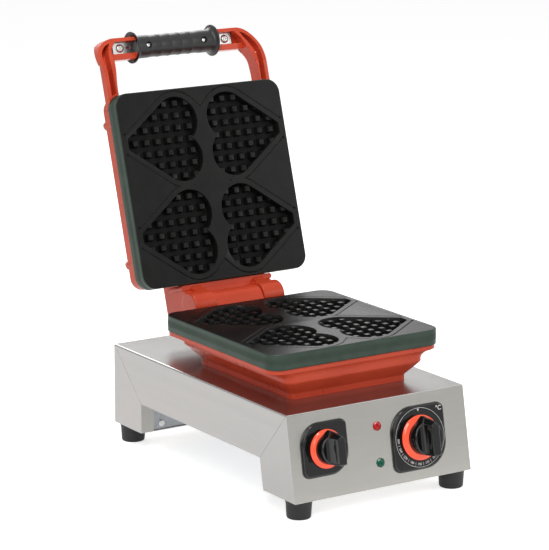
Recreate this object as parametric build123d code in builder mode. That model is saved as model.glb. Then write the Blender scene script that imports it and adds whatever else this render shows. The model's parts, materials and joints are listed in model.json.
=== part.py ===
"""Countertop heart waffle maker: a stainless body, two hinged cast baking plates and two controls.

X runs across the front from left to right, Y from front to back and Z up, in millimetres.
While the pieces are made, y = 0 is the top edge of the sloping front, z = 0 is the surface that
the feet stand on, and the lid is shut.  The last section turns the lid open about its hinge and
moves everything so that the origin is the middle of the whole object's box, on that surface.
"""

from build123d import *
from math import asin, atan2, cos, degrees, pi, radians, sin, sqrt
import os

# Body
body_width = 230.0
body_depth = 355.0
body_top = 112.3
sheet = 1.2
seam = 0.3
foot_height = 20.0
front_lean = 17.5
beam_bottom = 54.5
front_box = 61.0
rear_box = 59.0
bend_radius = 2.0
panel_lip = 17.0
screw_lip = 14.0
tray_gauge = 1.0
tray_clear = 0.3

# Feet
foot_top_radius = 14.6
foot_bottom_radius = 13.0
foot_inset_x = 15.0
foot_inset_y = 15.5
foot_recess_radius = 6.5
foot_recess = 9.0
m5_radius = 2.5
m5_head_radius = 4.6
m5_head = 3.4
m5_nut_radius = 4.4
m5_nut = 4.0
m4_radius = 2.0
m4_head_radius = 3.8
m4_head = 2.4
thread_clear = 0.2

# Baking plates
plate_width = 221.0
plate_depth = 223.0
plate_front = 32.3
plate_top = 168.2
plate_thickness = 17.4
plate_corner = 16.0
plate_edge = 0.8
closed_gap = 0.5
pocket_depth = 9.0
pocket_draft = 2.0
lobe_radius = 27.5
lobe_offset = 21.1
lobe_from_middle = 34.3
heart_tip_angle = 36.2
heart_tip_from_middle = 101.6
heart_pitch = 107.0
stud_height = 7.2
stud_base = 8.2
stud_top = 6.0
stud_pitch_x = 14.65
stud_pitch_y = 13.8
stud_first_x = 90.6
stud_columns = 6
stud_rows = 7
rim_groove_offset = 6.5
rim_groove_width = 1.0
rim_groove_depth = 0.8
rim_groove_end = 3.2
groove_dimple_radius = 1.3

# Lower casting
rim_inset = 1.0
rim_height = 5.3
cove_height = 8.5
ledge_inset_x = 20.5
ledge_inset_front = 3.7
ledge_inset_rear = 5.3
ledge_height = 3.5
ledge_corner = 10.0
skirt_inset_x = 34.9
skirt_inset_front = 15.7
skirt_inset_rear = 21.3
skirt_height = 5.8
skirt_corner = 8.0
casting_wall = 5.0
casting_floor = 5.0
cove_steps = 4

# Hinge
hinge_behind_plate = 25.5
hinge_below_face = 4.2
lid_open = 107.0
knuckle_radius = 16.4
knuckle_outer = 60.0
knuckle_inner = 32.0
barrel_radius = 14.0
barrel_gap = 0.5
pin_radius = 6.0
pin_running = 0.05
bracket_overlap = 2.5
bracket_run = 12.0
stop_gap = 0.4
stop_half_width = 18.0
stop_from = 2.0
stop_to = 15.0

# Lid casting
lid_rim = 15.0
lid_slope = 10.0
lid_crown = 8.0
lid_rim_inset = 1.7
lid_slope_inset_x = 17.0
lid_slope_inset_y = 10.0
lid_crown_inset_x = 34.0
lid_crown_inset_y = 22.0
strip_overhang = 1.0
strip_gap = 0.5
strip_depth = 6.3
strip_front = 3.0
tail_under = 36.0
tail_reach = 19.2
tail_thickness = 13.0
tail_wall = 4.0
cover_width = 118.0
cover_depth = 146.0
cover_gauge = 1.5
cover_corner = 8.0

# Handle
arm_inset = 1.7
arm_breadth = 15.5
arm_wall = 4.5
arm_root = 17.7
arm_front = 14.5
arm_depth = 17.9
arm_channel = 11.0
arm_clear = 0.3
arm_web = 2.2
stub_front = 31.0
stub_depth = 15.5
stub_reach = 50.0
front_rise = (-20.3, -69.3)
back_rise = (-22.3, -52.3)
back_cut = 24.0
back_cut_from = 32.3
back_cut_climb = 0.5
back_cut_slope = 0.8
handle_top_reach = 67.3
handle_bottom_reach = 42.1
handle_corner = 27.0
inner_lean = 3.2
inner_run = 14.0
divider_top_inset = 28.3
divider_inset = 21.2
divider_middle = 13.0
channel_turn = 75.0
channel_inset = 15.6
channel_middle = 17.0
bar_reach = 56.0
bar_end_inset = 28.7
bar_width = 13.6
bar_thickness = 4.0
bar_clear = 0.2
bar_seat = 42.5
bar_screw_x = 70.8
bar_slot_x = 60.0
grip_radius = 13.2
grip_waist = 0.9
grip_ridge_pitch = 13.8
grip_ridges = 5
grip_body = 47.0
grip_flange_x = 55.0
grip_flange_radius = 18.3
grip_flange_rim = 2.0
grip_dish_radius = 16.3
grip_dish_foot = 9.0
grip_dish_depth = 7.0
grip_screw_x = 37.3
grip_recess_radius = 3.4
grip_recess = 5.0
grip_clear = 0.15
stub_clear = 0.5

# Controls
bezel_height = 4.0
bezel_large_corner = 0.42
bezel_small_corner = 0.12
thermostat_x = 49.3
thermostat_down = 48.2
thermostat_bezel_size = 70.0
thermostat_skirt_radius = 24.6
thermostat_knob_radius = 18.6
switch_x = -72.0
switch_down = 41.2
switch_bezel_size = 58.0
switch_skirt_radius = 21.0
switch_knob_radius = 16.4
knob_lift = 0.6
skirt_rise = 4.8
knob_height = 25.1
knob_bar = 11.0
knob_scoop = 12.5
knob_pointer_inset = 0.6
knob_pointer_slope = 3.8
knob_pointer_tip = 1.0
knob_socket = 10.0
shaft_radius = 3.0
shaft_hole_radius = 5.5
shaft_bush_radius = 4.5
shaft_running = 0.05
shaft_depth = 12.0
shaft_end_gap = 1.0
control_screw_pitch = 28.0
control_screw_head_radius = 3.6
control_screw_head = 1.8
control_body_gap = 1.0
thermostat_body = (44.0, 36.0, 26.0)
switch_body = (38.0, 38.0, 30.0)
lamp_x = -2.4
red_lamp_down = 28.0
green_lamp_down = 67.5
lamp_radius = 5.4
lamp_hole_radius = 4.5
lamp_rise = 2.6
lamp_body = 18.0
lamp_nut_radius = 7.0
lamp_nut = 3.0

# Inside
heater_radius = 4.0
heater_leg_x = 12.0
heater_inner_x = 44.0
heater_outer_inset = 32.5
heater_bend = 12.0
heater_end_inset = 33.3
heater_turn_inset = 59.7
heater_back_inset = 59.3
heater_front_inset = 19.7
boss_radius = 7.0
plate_screw_inset_x = 46.5
plate_screw_inset = 14.0
plate_screw_bite = 6.5
casting_bolt_x = 40.0
casting_bolt_inset = 16.0
casting_bolt_boss = 14.0
m6_radius = 3.0
m6_head_radius = 5.2
m6_head = 4.0
wire_hole_radius = 12.0
wool_gap = 1.0
wool_thickness = 16.0
probe_radius = 3.0
probe_ahead = 34.0
probe_behind = 46.0
lid_bolt_inset_x = 6.5
lid_bolt_inset_y = 31.5
lid_boss_radius = 5.5
lid_boss_height = 3.6
lid_bolt_seat = 12.0
gland_x = 70.0
gland_z = 62.0
gland_thread_radius = 8.0
gland_flange_radius = 12.0
gland_bore_radius = 4.2
gland_out = 16.0
gland_in = 12.0
gland_nut_thickness = 4.0
terminal_size = (62.0, 24.0, 20.0)
terminal_from_back = 37.0
earth_x = 40.0
earth_z = 40.0

# Places worked out from the sizes above
half_body = body_width / 2
plate_bottom = plate_top - plate_thickness
plate_rear = plate_front + plate_depth
plate_middle = plate_front + plate_depth / 2
plate_half = plate_width / 2
lid_face = plate_top + closed_gap
lid_back = lid_face + plate_thickness
rim_low = plate_bottom - rim_height
cove_low = rim_low - cove_height
ledge_half_width = plate_half - ledge_inset_x
ledge_front = plate_front + ledge_inset_front
ledge_rear = plate_rear - ledge_inset_rear
skirt_half_width = plate_half - skirt_inset_x
skirt_front = plate_front + skirt_inset_front
skirt_rear = plate_rear - skirt_inset_rear
hinge_y = plate_rear + hinge_behind_plate
hinge_z = plate_top - hinge_below_face
strip_half_width = knuckle_outer + strip_overhang
tail_half_width = knuckle_outer
tail_end = hinge_y + tail_reach
arm_half_width = plate_half - arm_inset
arm_inner = arm_half_width - arm_breadth
arm_start = plate_front + arm_root
handle_top = plate_front - handle_top_reach
handle_bottom = plate_front - handle_bottom_reach
bar_y = plate_front - bar_reach
bar_half_length = arm_half_width - bar_end_inset
divider_top_y = bar_y - bar_width / 2 - bar_clear
bar_front = lid_face + bar_seat - bar_thickness
grip_z = lid_face + bar_seat - bar_thickness / 2
heater_outer_x = plate_half - heater_outer_inset
heater_end = plate_rear - heater_end_inset
heater_turn = plate_front + heater_turn_inset
heater_back = plate_rear - heater_back_inset
heater_front = plate_front + heater_front_inset
plate_screw_x = plate_half - plate_screw_inset_x
plate_screw_front = heater_front + plate_screw_inset
plate_screw_rear = heater_back + plate_screw_inset + 2 * heater_radius
casting_bolt_front = skirt_front + casting_bolt_inset
casting_bolt_rear = skirt_rear - casting_bolt_inset
wool_half_width = plate_screw_x - boss_radius - 3 * wool_gap
wool_front = plate_screw_front + boss_radius + wool_gap
wool_rear = plate_screw_rear - boss_radius - wool_gap
lid_bolt_x = plate_half - lid_bolt_inset_x
lid_bolt_spread = plate_depth / 2 - lid_bolt_inset_y
lean_angle = degrees(atan2(front_lean, body_top - foot_height))
lean_sheet = sheet / cos(radians(lean_angle))
lean_tray = tray_gauge / cos(radians(lean_angle))
rear_inner = body_depth - rear_box


def front_y(z):
    """Y of the sloping front's outer face at the height z."""
    return -front_lean * (body_top - z) / (body_top - foot_height)


def front_inner(z):
    """Y of the front box's inner side, which is parallel to the front."""
    return front_y(z) + front_box


def front_mitre(z):
    """Y of the seam between the top panel's flange and the front panel's return."""
    return front_inner(beam_bottom) * (body_top - z) / (body_top - beam_bottom)


def rear_mitre(z):
    """Y of the seam between the top panel's flange and the rear panel's return."""
    return body_depth - rear_box * (body_top - z) / (body_top - beam_bottom)


def opened(y, z):
    """Where a point of the shut lid comes to when the lid is open."""
    turn = radians(lid_open)
    dy, dz = y - hinge_y, z - hinge_z
    return hinge_y + dy * cos(turn) + dz * sin(turn), hinge_z - dy * sin(turn) + dz * cos(turn)


foot_places = {
    "front_left": (-half_body + foot_inset_x, front_y(foot_height) + foot_inset_y),
    "front_right": (half_body - foot_inset_x, front_y(foot_height) + foot_inset_y),
    "rear_left": (-half_body + foot_inset_x, body_depth - foot_inset_y),
    "rear_right": (half_body - foot_inset_x, body_depth - foot_inset_y),
}
plate_screw_places = [(s * plate_screw_x, y) for s in (-1, 1)
                      for y in (plate_screw_front, plate_screw_rear)]
casting_bolt_places = [(s * casting_bolt_x, y) for s in (-1, 1)
                       for y in (casting_bolt_front, casting_bolt_rear)]
lid_bolt_places = [(s * lid_bolt_x, plate_middle + t * lid_bolt_spread)
                   for s in (-1, 1) for t in (-1, 1)]
panel = Plane(origin=(0, 0, body_top), x_dir=(1, 0, 0),
              z_dir=(0, -cos(radians(lean_angle)), sin(radians(lean_angle))))
tray_screw_x = half_body - 2 * sheet - panel_lip - 2 * m4_head_radius
tray_screw_up = foot_height + sheet + screw_lip / 2


def panel_at(x, down, out=0.0):
    """A plane on the sloping front: x across, down from its top edge, out from its face."""
    return Plane(origin=panel.from_local_coords(Vector(x, -down, out)),
                 x_dir=panel.x_dir, z_dir=panel.z_dir)


pieces = {}
lid_pieces = set()


def keep(name, made, on_lid=False):
    """File a finished piece under its name."""
    pieces[name] = made
    if on_lid:
        lid_pieces.add(name)


# Top panel: the flat top with a flange folded down each side, and a lip under each flange
with BuildPart() as top_panel:
    with BuildSketch(Plane.YZ.offset(-half_body)):
        with BuildLine():
            Polyline(
                (0, body_top), (body_depth, body_top), (body_depth, body_top - sheet),
                (rear_mitre(body_top - sheet) - seam, body_top - sheet),
                (rear_inner - seam, beam_bottom), (front_inner(beam_bottom) + seam, beam_bottom),
                (front_mitre(body_top - sheet) + seam, body_top - sheet), (0, body_top - sheet),
                close=True,
            )
        make_face()
    extrude(amount=body_width)
    with BuildSketch(Plane.YZ.offset(-half_body + sheet)):
        with Locations((body_depth / 2, (body_top - sheet) / 2)):
            Rectangle(2 * body_depth, body_top - sheet)
    extrude(amount=body_width - 2 * sheet, mode=Mode.SUBTRACT)
    top_bends = top_panel.edges().filter_by(Axis.Y).group_by(Axis.Z)[-1]
    fillet(top_bends, bend_radius)
    with BuildSketch(Plane.XY.offset(beam_bottom)):
        for side in (-1, 1):
            with Locations((side * (half_body - panel_lip / 2),
                            (front_inner(beam_bottom) + rear_inner) / 2)):
                Rectangle(panel_lip - 2 * sheet, rear_inner - front_inner(beam_bottom) - 4 * seam)
    extrude(amount=sheet)
    with BuildSketch(Plane.XY.offset(beam_bottom)):
        for side in (-1, 1):
            with Locations((side * (half_body - sheet), (front_inner(beam_bottom) + rear_inner) / 2)):
                Rectangle(2 * sheet, rear_inner - front_inner(beam_bottom) - 4 * seam)
    extrude(amount=sheet)
    with BuildSketch(Plane.XY.offset(body_top)):
        with Locations(*casting_bolt_places):
            Circle(m6_radius + thread_clear)
        with Locations((0, heater_end)):
            Circle(wire_hole_radius)
    extrude(amount=-2 * sheet, mode=Mode.SUBTRACT)
keep("top_panel", top_panel)

# Front panel: the sloping face, a return round each side, a closed bottom and a lip for the tray
with BuildPart() as front_panel:
    with BuildSketch(Plane.YZ.offset(-half_body)):
        with BuildLine():
            Polyline(
                (front_y(body_top - sheet), body_top - sheet), (front_y(foot_height), foot_height),
                (front_inner(foot_height), foot_height), (front_inner(beam_bottom), beam_bottom),
                (front_mitre(body_top - sheet), body_top - sheet),
                close=True,
            )
        make_face()
    extrude(amount=body_width)
    with BuildSketch(Plane.YZ.offset(-half_body + sheet)):
        with BuildLine():
            Polyline(
                (front_y(body_top) + lean_sheet, body_top), (front_y(foot_height + sheet) + lean_sheet,
                                                            foot_height + sheet),
                (2 * front_box, foot_height + sheet), (2 * front_box, body_top),
                close=True,
            )
        make_face()
    extrude(amount=body_width - 2 * sheet, mode=Mode.SUBTRACT)
    with BuildSketch(Plane.YZ.offset(-half_body + sheet)):
        with BuildLine():
            Polyline(
                (front_inner(beam_bottom), beam_bottom), (front_inner(foot_height), foot_height),
                (front_inner(foot_height) - lean_sheet, foot_height),
                (front_inner(beam_bottom) - lean_sheet, beam_bottom),
                close=True,
            )
        make_face()
    extrude(amount=panel_lip - sheet)
    with BuildSketch(Plane.YZ.offset(half_body - sheet)):
        with BuildLine():
            Polyline(
                (front_inner(beam_bottom), beam_bottom), (front_inner(foot_height), foot_height),
                (front_inner(foot_height) - lean_sheet, foot_height),
                (front_inner(beam_bottom) - lean_sheet, beam_bottom),
                close=True,
            )
        make_face()
    extrude(amount=-(panel_lip - sheet))
    with BuildSketch(Plane.YZ.offset(-half_body + 2 * sheet)):
        with BuildLine():
            lip_back = lean_sheet + lean_tray
            Polyline(
                (front_inner(foot_height) - lip_back, foot_height),
                (front_inner(foot_height + screw_lip) - lip_back, foot_height + screw_lip),
                (front_inner(foot_height + screw_lip) - lip_back - lean_sheet, foot_height + screw_lip),
                (front_inner(foot_height) - lip_back - lean_sheet, foot_height),
                close=True,
            )
        make_face()
    extrude(amount=body_width - 4 * sheet)
    with BuildSketch(panel):
        with Locations((thermostat_x, -thermostat_down), (switch_x, -switch_down)):
            Circle(shaft_hole_radius)
            with Locations((-control_screw_pitch / 2, 0), (control_screw_pitch / 2, 0)):
                Circle(m4_radius + thread_clear)
        with Locations((lamp_x, -red_lamp_down), (lamp_x, -green_lamp_down)):
            Circle(lamp_hole_radius)
    extrude(amount=-3 * sheet, mode=Mode.SUBTRACT)
    with BuildSketch(Plane.XY.offset(foot_height)):
        with Locations(foot_places["front_left"], foot_places["front_right"]):
            Circle(m5_radius + thread_clear)
    extrude(amount=sheet, mode=Mode.SUBTRACT)
keep("front_panel", front_panel)

# Rear panel: upright, with the same returns, closed bottom and tray lip, and the cable gland's hole
with BuildPart() as rear_panel:
    with BuildSketch(Plane.YZ.offset(-half_body)):
        with BuildLine():
            Polyline(
                (body_depth, body_top - sheet), (body_depth, foot_height), (rear_inner, foot_height),
                (rear_inner, beam_bottom), (rear_mitre(body_top - sheet), body_top - sheet),
                close=True,
            )
        make_face()
    extrude(amount=body_width)
    with BuildSketch(Plane.YZ.offset(-half_body + sheet)):
        with BuildLine():
            Polyline(
                (body_depth - sheet, body_top), (body_depth - sheet, foot_height + sheet),
                (body_depth - 2 * rear_box, foot_height + sheet), (body_depth - 2 * rear_box, body_top),
                close=True,
            )
        make_face()
    extrude(amount=body_width - 2 * sheet, mode=Mode.SUBTRACT)
    with BuildSketch(Plane.XZ.offset(-rear_inner)):
        for side in (-1, 1):
            with Locations((side * (half_body - (panel_lip + sheet) / 2), (beam_bottom + foot_height) / 2)):
                Rectangle(panel_lip - sheet, beam_bottom - foot_height)
    extrude(amount=-sheet)
    with BuildSketch(Plane.XZ.offset(-(rear_inner + sheet + tray_gauge))):
        with Locations((0, foot_height + screw_lip / 2)):
            Rectangle(body_width - 4 * sheet, screw_lip)
    extrude(amount=-sheet)
    with BuildSketch(Plane.XZ.offset(-body_depth)):
        with Locations((gland_x, gland_z)):
            Circle(gland_thread_radius)
        with Locations((earth_x, earth_z)):
            Circle(m5_radius)
    extrude(amount=sheet, mode=Mode.SUBTRACT)
    with BuildSketch(Plane.XY.offset(foot_height)):
        with Locations(foot_places["rear_left"], foot_places["rear_right"]):
            Circle(m5_radius + thread_clear)
    extrude(amount=sheet, mode=Mode.SUBTRACT)
keep("rear_panel", rear_panel)

# Bottom tray: one galvanised sheet that closes the arch between the front and the rear box
tray_low = foot_height + sheet + tray_clear
tray_shelf = beam_bottom + sheet
with BuildPart() as bottom_tray:
    with BuildSketch(Plane.YZ.offset(-half_body + sheet + tray_clear)):
        with BuildLine():
            Polyline(
                (front_inner(tray_low) - lean_sheet, tray_low),
                (front_inner(tray_shelf) - lean_sheet, tray_shelf),
                (rear_inner + sheet, tray_shelf), (rear_inner + sheet, tray_low),
                (rear_inner + sheet + tray_gauge, tray_low),
                (rear_inner + sheet + tray_gauge, tray_shelf + tray_gauge),
                (front_inner(tray_shelf + tray_gauge) - lean_sheet - lean_tray, tray_shelf + tray_gauge),
                (front_inner(tray_low) - lean_sheet - lean_tray, tray_low),
                close=True,
            )
        make_face()
    extrude(amount=body_width - 2 * (sheet + tray_clear))
keep("bottom_tray", bottom_tray)

# Tray screws: two through each lip, their heads in the arch
front_lip = Plane(
    origin=(0, front_inner(tray_screw_up) - lean_sheet, tray_screw_up), x_dir=(-1, 0, 0),
    z_dir=(0, cos(radians(lean_angle)), -sin(radians(lean_angle))),
)
rear_lip = Plane(origin=(0, rear_inner + sheet, tray_screw_up), x_dir=(1, 0, 0), z_dir=(0, -1, 0))


def screw_heads(plane, places, radius, height, dome=0.35):
    """Pan heads standing on a plane, with softened rims."""
    with BuildPart() as heads:
        with BuildSketch(plane):
            with Locations(*places):
                Circle(radius)
        extrude(amount=height)
        rims = heads.edges().filter_by(GeomType.CIRCLE).filter_by(
            lambda edge: abs(plane.to_local_coords(edge.center()).Z - height) < 0.01)
        fillet(rims, dome * height)
    return heads


front_heads = screw_heads(front_lip, [(-tray_screw_x, 0), (tray_screw_x, 0)], m4_head_radius, m4_head)
rear_heads = screw_heads(rear_lip, [(-tray_screw_x, 0), (tray_screw_x, 0)], m4_head_radius, m4_head)
with BuildPart() as tray_screws:
    add(front_heads.part)
    add(rear_heads.part)
keep("tray_screws", tray_screws)

# Feet: four tapered rubber feet, each with a recess for its screw
for corner, (foot_x, foot_y) in foot_places.items():
    with BuildPart() as foot:
        with BuildSketch(Plane.XZ.offset(-foot_y)):
            with BuildLine():
                Polyline(
                    (foot_x, 0), (foot_x + foot_bottom_radius - 1.5, 0), (foot_x + foot_bottom_radius, 1.5),
                    (foot_x + foot_top_radius, foot_height), (foot_x, foot_height),
                    close=True,
                )
            make_face()
        revolve(axis=Axis((foot_x, foot_y, 0), (0, 0, 1)))
        with BuildSketch(Plane.XY):
            with Locations((foot_x, foot_y)):
                Circle(foot_recess_radius)
        extrude(amount=foot_recess, mode=Mode.SUBTRACT)
        with BuildSketch(Plane.XY):
            with Locations((foot_x, foot_y)):
                Circle(m5_radius + thread_clear)
        extrude(amount=foot_height, mode=Mode.SUBTRACT)
    keep(f"foot_{corner}", foot)

# Foot screws and nuts: each screw passes its foot and the panel's bottom, and a nut holds it
with BuildPart() as foot_screws:
    with BuildSketch(Plane.XY.offset(foot_recess - m5_head)):
        with Locations(*foot_places.values()):
            Circle(m5_head_radius)
    extrude(amount=m5_head)
    with BuildSketch(Plane.XY.offset(foot_recess)):
        with Locations(*foot_places.values()):
            Circle(m5_radius)
    extrude(amount=foot_height + sheet + m5_nut + 1 - foot_recess)
keep("foot_screws", foot_screws)

with BuildPart() as foot_nuts:
    with BuildSketch(Plane.XY.offset(foot_height + sheet)):
        with Locations(*foot_places.values()):
            RegularPolygon(m5_nut_radius, 6)
            Circle(m5_radius, mode=Mode.SUBTRACT)
    extrude(amount=m5_nut)
keep("foot_nuts", foot_nuts)


def heart_edges(inset, point_left=True):
    """One heart's outline about its own lobe line, drawn with arcs for the lobes and straight sides.

    inset moves the whole outline inwards; a negative inset moves it outwards.
    """
    radius = lobe_radius - inset
    slope = radians(heart_tip_angle)
    tip = -(heart_tip_from_middle - lobe_from_middle) + inset
    run = (-radius * sin(slope) - tip) / cos(slope)
    side_end = (tip, -lobe_offset - radius * cos(slope) + run * sin(slope))
    side_start = (-radius * sin(slope), -lobe_offset - radius * cos(slope))
    cleft = (sqrt(radius ** 2 - lobe_offset ** 2), 0)
    lobe_far = (radius * cos(slope), -lobe_offset - radius * sin(slope))
    face = 1 if point_left else -1

    def put(place, flip=1):
        return (face * place[0], flip * place[1])

    Line(put(side_end), put(side_start))
    ThreePointArc(put(side_start), put(lobe_far), put(cleft))
    ThreePointArc(put(cleft), put(lobe_far, -1), put(side_start, -1))
    Line(put(side_start, -1), put(side_end, -1))
    Line(put(side_end, -1), put(side_end))


def pocket_cutter():
    """The space of one heart pocket, pointing left, with its studs left out of it."""
    with BuildPart() as cutter:
        with BuildSketch(Plane.XY):
            with BuildLine():
                heart_edges(0)
            make_face()
        with BuildSketch(Plane.XY.offset(-pocket_depth)):
            with BuildLine():
                heart_edges(pocket_draft)
            make_face()
        loft(ruled=True)
        first = -(stud_first_x - lobe_from_middle)
        centre_x = first + stud_pitch_x * (stud_columns - 1) / 2
        with BuildSketch(Plane.XY.offset(-pocket_depth)):
            with Locations((centre_x, 0)):
                with GridLocations(stud_pitch_x, stud_pitch_y, stud_columns, stud_rows):
                    Rectangle(stud_base, stud_base)
        studs = extrude(amount=stud_height, taper=degrees(atan2((stud_base - stud_top) / 2, stud_height)),
                        mode=Mode.SUBTRACT)
    return cutter


def rim_groove():
    """The shallow groove that runs round the four hearts as one outline."""
    with BuildPart() as groove:
        with BuildSketch(Plane.XY) as ring:
            for step, mode in ((-0.5, Mode.ADD), (0.5, Mode.SUBTRACT)):
                inset = -rim_groove_offset + step * rim_groove_width
                wide = lobe_radius - inset
                for side in (-1, 1):
                    for row in (-1, 1):
                        with BuildSketch(Plane.XY, mode=Mode.PRIVATE) as one:
                            with BuildLine():
                                heart_edges(inset, side < 0)
                            make_face()
                        place = Location((side * lobe_from_middle, row * heart_pitch / 2, 0))
                        add(place * one.sketch, mode=mode)
                touch = wide * cos(pi / 4)
                lobe_line = heart_pitch / 2 + lobe_offset
                join_x = lobe_from_middle - touch
                join_y = lobe_line + touch
                with BuildSketch(Plane.XY, mode=Mode.PRIVATE) as middle:
                    with BuildLine():
                        Polyline(
                            (-join_x, join_y), (0, join_y - join_x), (join_x, join_y),
                            (join_x, -join_y), (0, join_x - join_y), (-join_x, -join_y),
                            close=True,
                        )
                    make_face()
                    Rectangle(1.4 * lobe_from_middle, heart_pitch)
                add(middle.sketch, mode=mode)
            Rectangle(2 * (heart_tip_from_middle + rim_groove_end), plate_depth, mode=Mode.INTERSECT)
        extrude(amount=-rim_groove_depth)
        slope = radians(heart_tip_angle)
        outer = lobe_radius + rim_groove_offset
        dimple_x = heart_tip_from_middle + rim_groove_end
        dimple_y = lobe_offset + (outer - (dimple_x - lobe_from_middle) * sin(slope)) / cos(slope)
        with BuildSketch(Plane.XY):
            for side in (-1, 1):
                for row in (-1, 1):
                    for edge in (-1, 1):
                        with Locations((side * dimple_x, row * heart_pitch / 2 + edge * dimple_y)):
                            Circle(groove_dimple_radius)
        extrude(amount=-2 * rim_groove_depth)
    return groove


one_pocket = pocket_cutter()
four_hearts = rim_groove()


def baking_plate(screw_places):
    """A cast plate with its face up at z = 0: four heart pockets, studs, groove and blind holes."""
    with BuildPart() as plate:
        with BuildSketch(Plane.XY):
            RectangleRounded(plate_width, plate_depth, plate_corner)
        extrude(amount=-plate_thickness)
        chamfer(plate.edges().group_by(Axis.Z)[-1], plate_edge)
        for side in (-1, 1):
            for row in (-1, 1):
                place = Location((side * lobe_from_middle, row * heart_pitch / 2, 0),
                                 (0, 0, 90 + 90 * side))
                add(place * one_pocket.part, mode=Mode.SUBTRACT)
        add(four_hearts.part, mode=Mode.SUBTRACT)
        with BuildSketch(Plane.XY.offset(-plate_thickness)):
            with Locations(*[(x, y) for x, y in screw_places]):
                Circle(m6_radius)
        extrude(amount=plate_screw_bite, mode=Mode.SUBTRACT)
    return plate


# Lower baking plate
lower_blank = baking_plate([(x, y - plate_middle) for x, y in plate_screw_places])
with BuildPart() as lower_plate:
    with Locations((0, plate_middle, plate_top)):
        add(lower_blank.part)
keep("lower_plate", lower_plate)

# Upper baking plate: the same casting turned over, with its own bolt places
upper_blank = baking_plate([(x, plate_middle - y) for x, y in lid_bolt_places])
with BuildPart() as upper_plate:
    with Locations(Location((0, plate_middle, lid_face), (180, 0, 0))):
        add(upper_blank.part)
keep("upper_plate", upper_plate, on_lid=True)


def outline(half_width, front, rear, corner):
    """A rounded rectangle centred on x = 0 from front to rear."""
    with Locations((0, (front + rear) / 2)):
        RectangleRounded(2 * half_width, rear - front, corner)


def lower_tiers(wall, floor):
    """The lower casting's tiers from the rim down, moved inwards by wall."""
    slope_top = cove_low - ledge_height
    skirt_top = body_top + skirt_height
    rim = (plate_half - rim_inset, plate_front + rim_inset, plate_rear - rim_inset, plate_corner)
    ledge = (ledge_half_width, ledge_front, ledge_rear, ledge_corner)
    skirt = (skirt_half_width, skirt_front, skirt_rear, skirt_corner)

    def drawn(shape):
        outline(shape[0] - wall, shape[1] + wall, shape[2] - wall, shape[3] - 0.6 * wall)

    with BuildPart() as tiers:
        with BuildSketch(Plane.XY.offset(rim_low)):
            drawn(rim)
        extrude(amount=rim_height)
        for step in range(cove_steps):
            for edge in (step, step + 1):
                turn = radians(90 * edge / cove_steps)
                level = rim_low - cove_height * (1 - cos(turn))
                part_way = sin(turn)
                with BuildSketch(Plane.XY.offset(level)):
                    drawn([a + (b - a) * part_way for a, b in zip(rim, ledge)])
            loft(ruled=True)
        with BuildSketch(Plane.XY.offset(slope_top)):
            drawn(ledge)
        extrude(amount=ledge_height)
        with BuildSketch(Plane.XY.offset(slope_top)):
            drawn(ledge)
        with BuildSketch(Plane.XY.offset(skirt_top)):
            drawn(skirt)
        loft(ruled=True)
        if skirt_height > floor:
            with BuildSketch(Plane.XY.offset(body_top + floor)):
                drawn(skirt)
            extrude(amount=skirt_height - floor)
    return tiers


# Lower casting: the painted bed that carries the plate
bed_outside = lower_tiers(0, 0)
bed_inside = lower_tiers(casting_wall, casting_floor)
with BuildPart() as lower_casting:
    add(bed_outside.part)
    add(bed_inside.part, mode=Mode.SUBTRACT)
    with BuildSketch(Plane.XY.offset(body_top)):
        with Locations(*plate_screw_places):
            Circle(boss_radius)
    extrude(amount=plate_bottom - body_top)
    with BuildSketch(Plane.XY.offset(body_top)):
        with Locations(*casting_bolt_places):
            Circle(boss_radius)
    extrude(amount=casting_bolt_boss)
    with BuildSketch(Plane.XY.offset(body_top)):
        with Locations(*plate_screw_places):
            Circle(m6_radius + thread_clear)
    extrude(amount=plate_bottom - body_top, mode=Mode.SUBTRACT)
    with BuildSketch(Plane.XY.offset(body_top)):
        with Locations(*plate_screw_places):
            Circle(m6_head_radius + thread_clear)
    extrude(amount=m6_head + thread_clear, mode=Mode.SUBTRACT)
    with BuildSketch(Plane.XY.offset(body_top)):
        with Locations(*casting_bolt_places):
            Circle(m6_radius)
    extrude(amount=casting_bolt_boss - 2, mode=Mode.SUBTRACT)
    with BuildSketch(Plane.XY.offset(body_top)):
        with Locations((0, heater_end)):
            Circle(wire_hole_radius)
    extrude(amount=casting_floor, mode=Mode.SUBTRACT)
keep("lower_casting", lower_casting)

# Hinge bracket: the bed's rear web, with the barrel for the pin and the block that the open lid rests on
bracket_half = knuckle_inner - barrel_gap
bracket_from = ledge_rear - bracket_overlap
skirt_top = body_top + skirt_height
stop_z = lid_face + tail_under - stop_gap
with BuildPart() as hinge_bracket:
    with BuildSketch(Plane.YZ.offset(-bracket_half)):
        with Locations((hinge_y, hinge_z)):
            Circle(barrel_radius)
        with Locations((bracket_from + bracket_run / 2, (cove_low + skirt_top) / 2)):
            Rectangle(bracket_run, cove_low - skirt_top)
        make_hull()
    extrude(amount=2 * bracket_half)
    with BuildSketch(Plane.YZ.offset(-stop_half_width)):
        with BuildLine():
            Polyline(
                opened(hinge_y + stop_from, stop_z), opened(hinge_y + stop_to, stop_z),
                (hinge_y, hinge_z - 2 * barrel_radius), (hinge_y, hinge_z - barrel_radius / 2),
                close=True,
            )
        make_face()
    extrude(amount=2 * stop_half_width)
    add(bed_outside.part, mode=Mode.SUBTRACT)
    with BuildSketch(Plane.YZ.offset(-bracket_half)):
        with Locations((hinge_y, hinge_z)):
            Circle(pin_radius + pin_running)
    extrude(amount=2 * bracket_half, mode=Mode.SUBTRACT)
keep("hinge_bracket", hinge_bracket)

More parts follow.
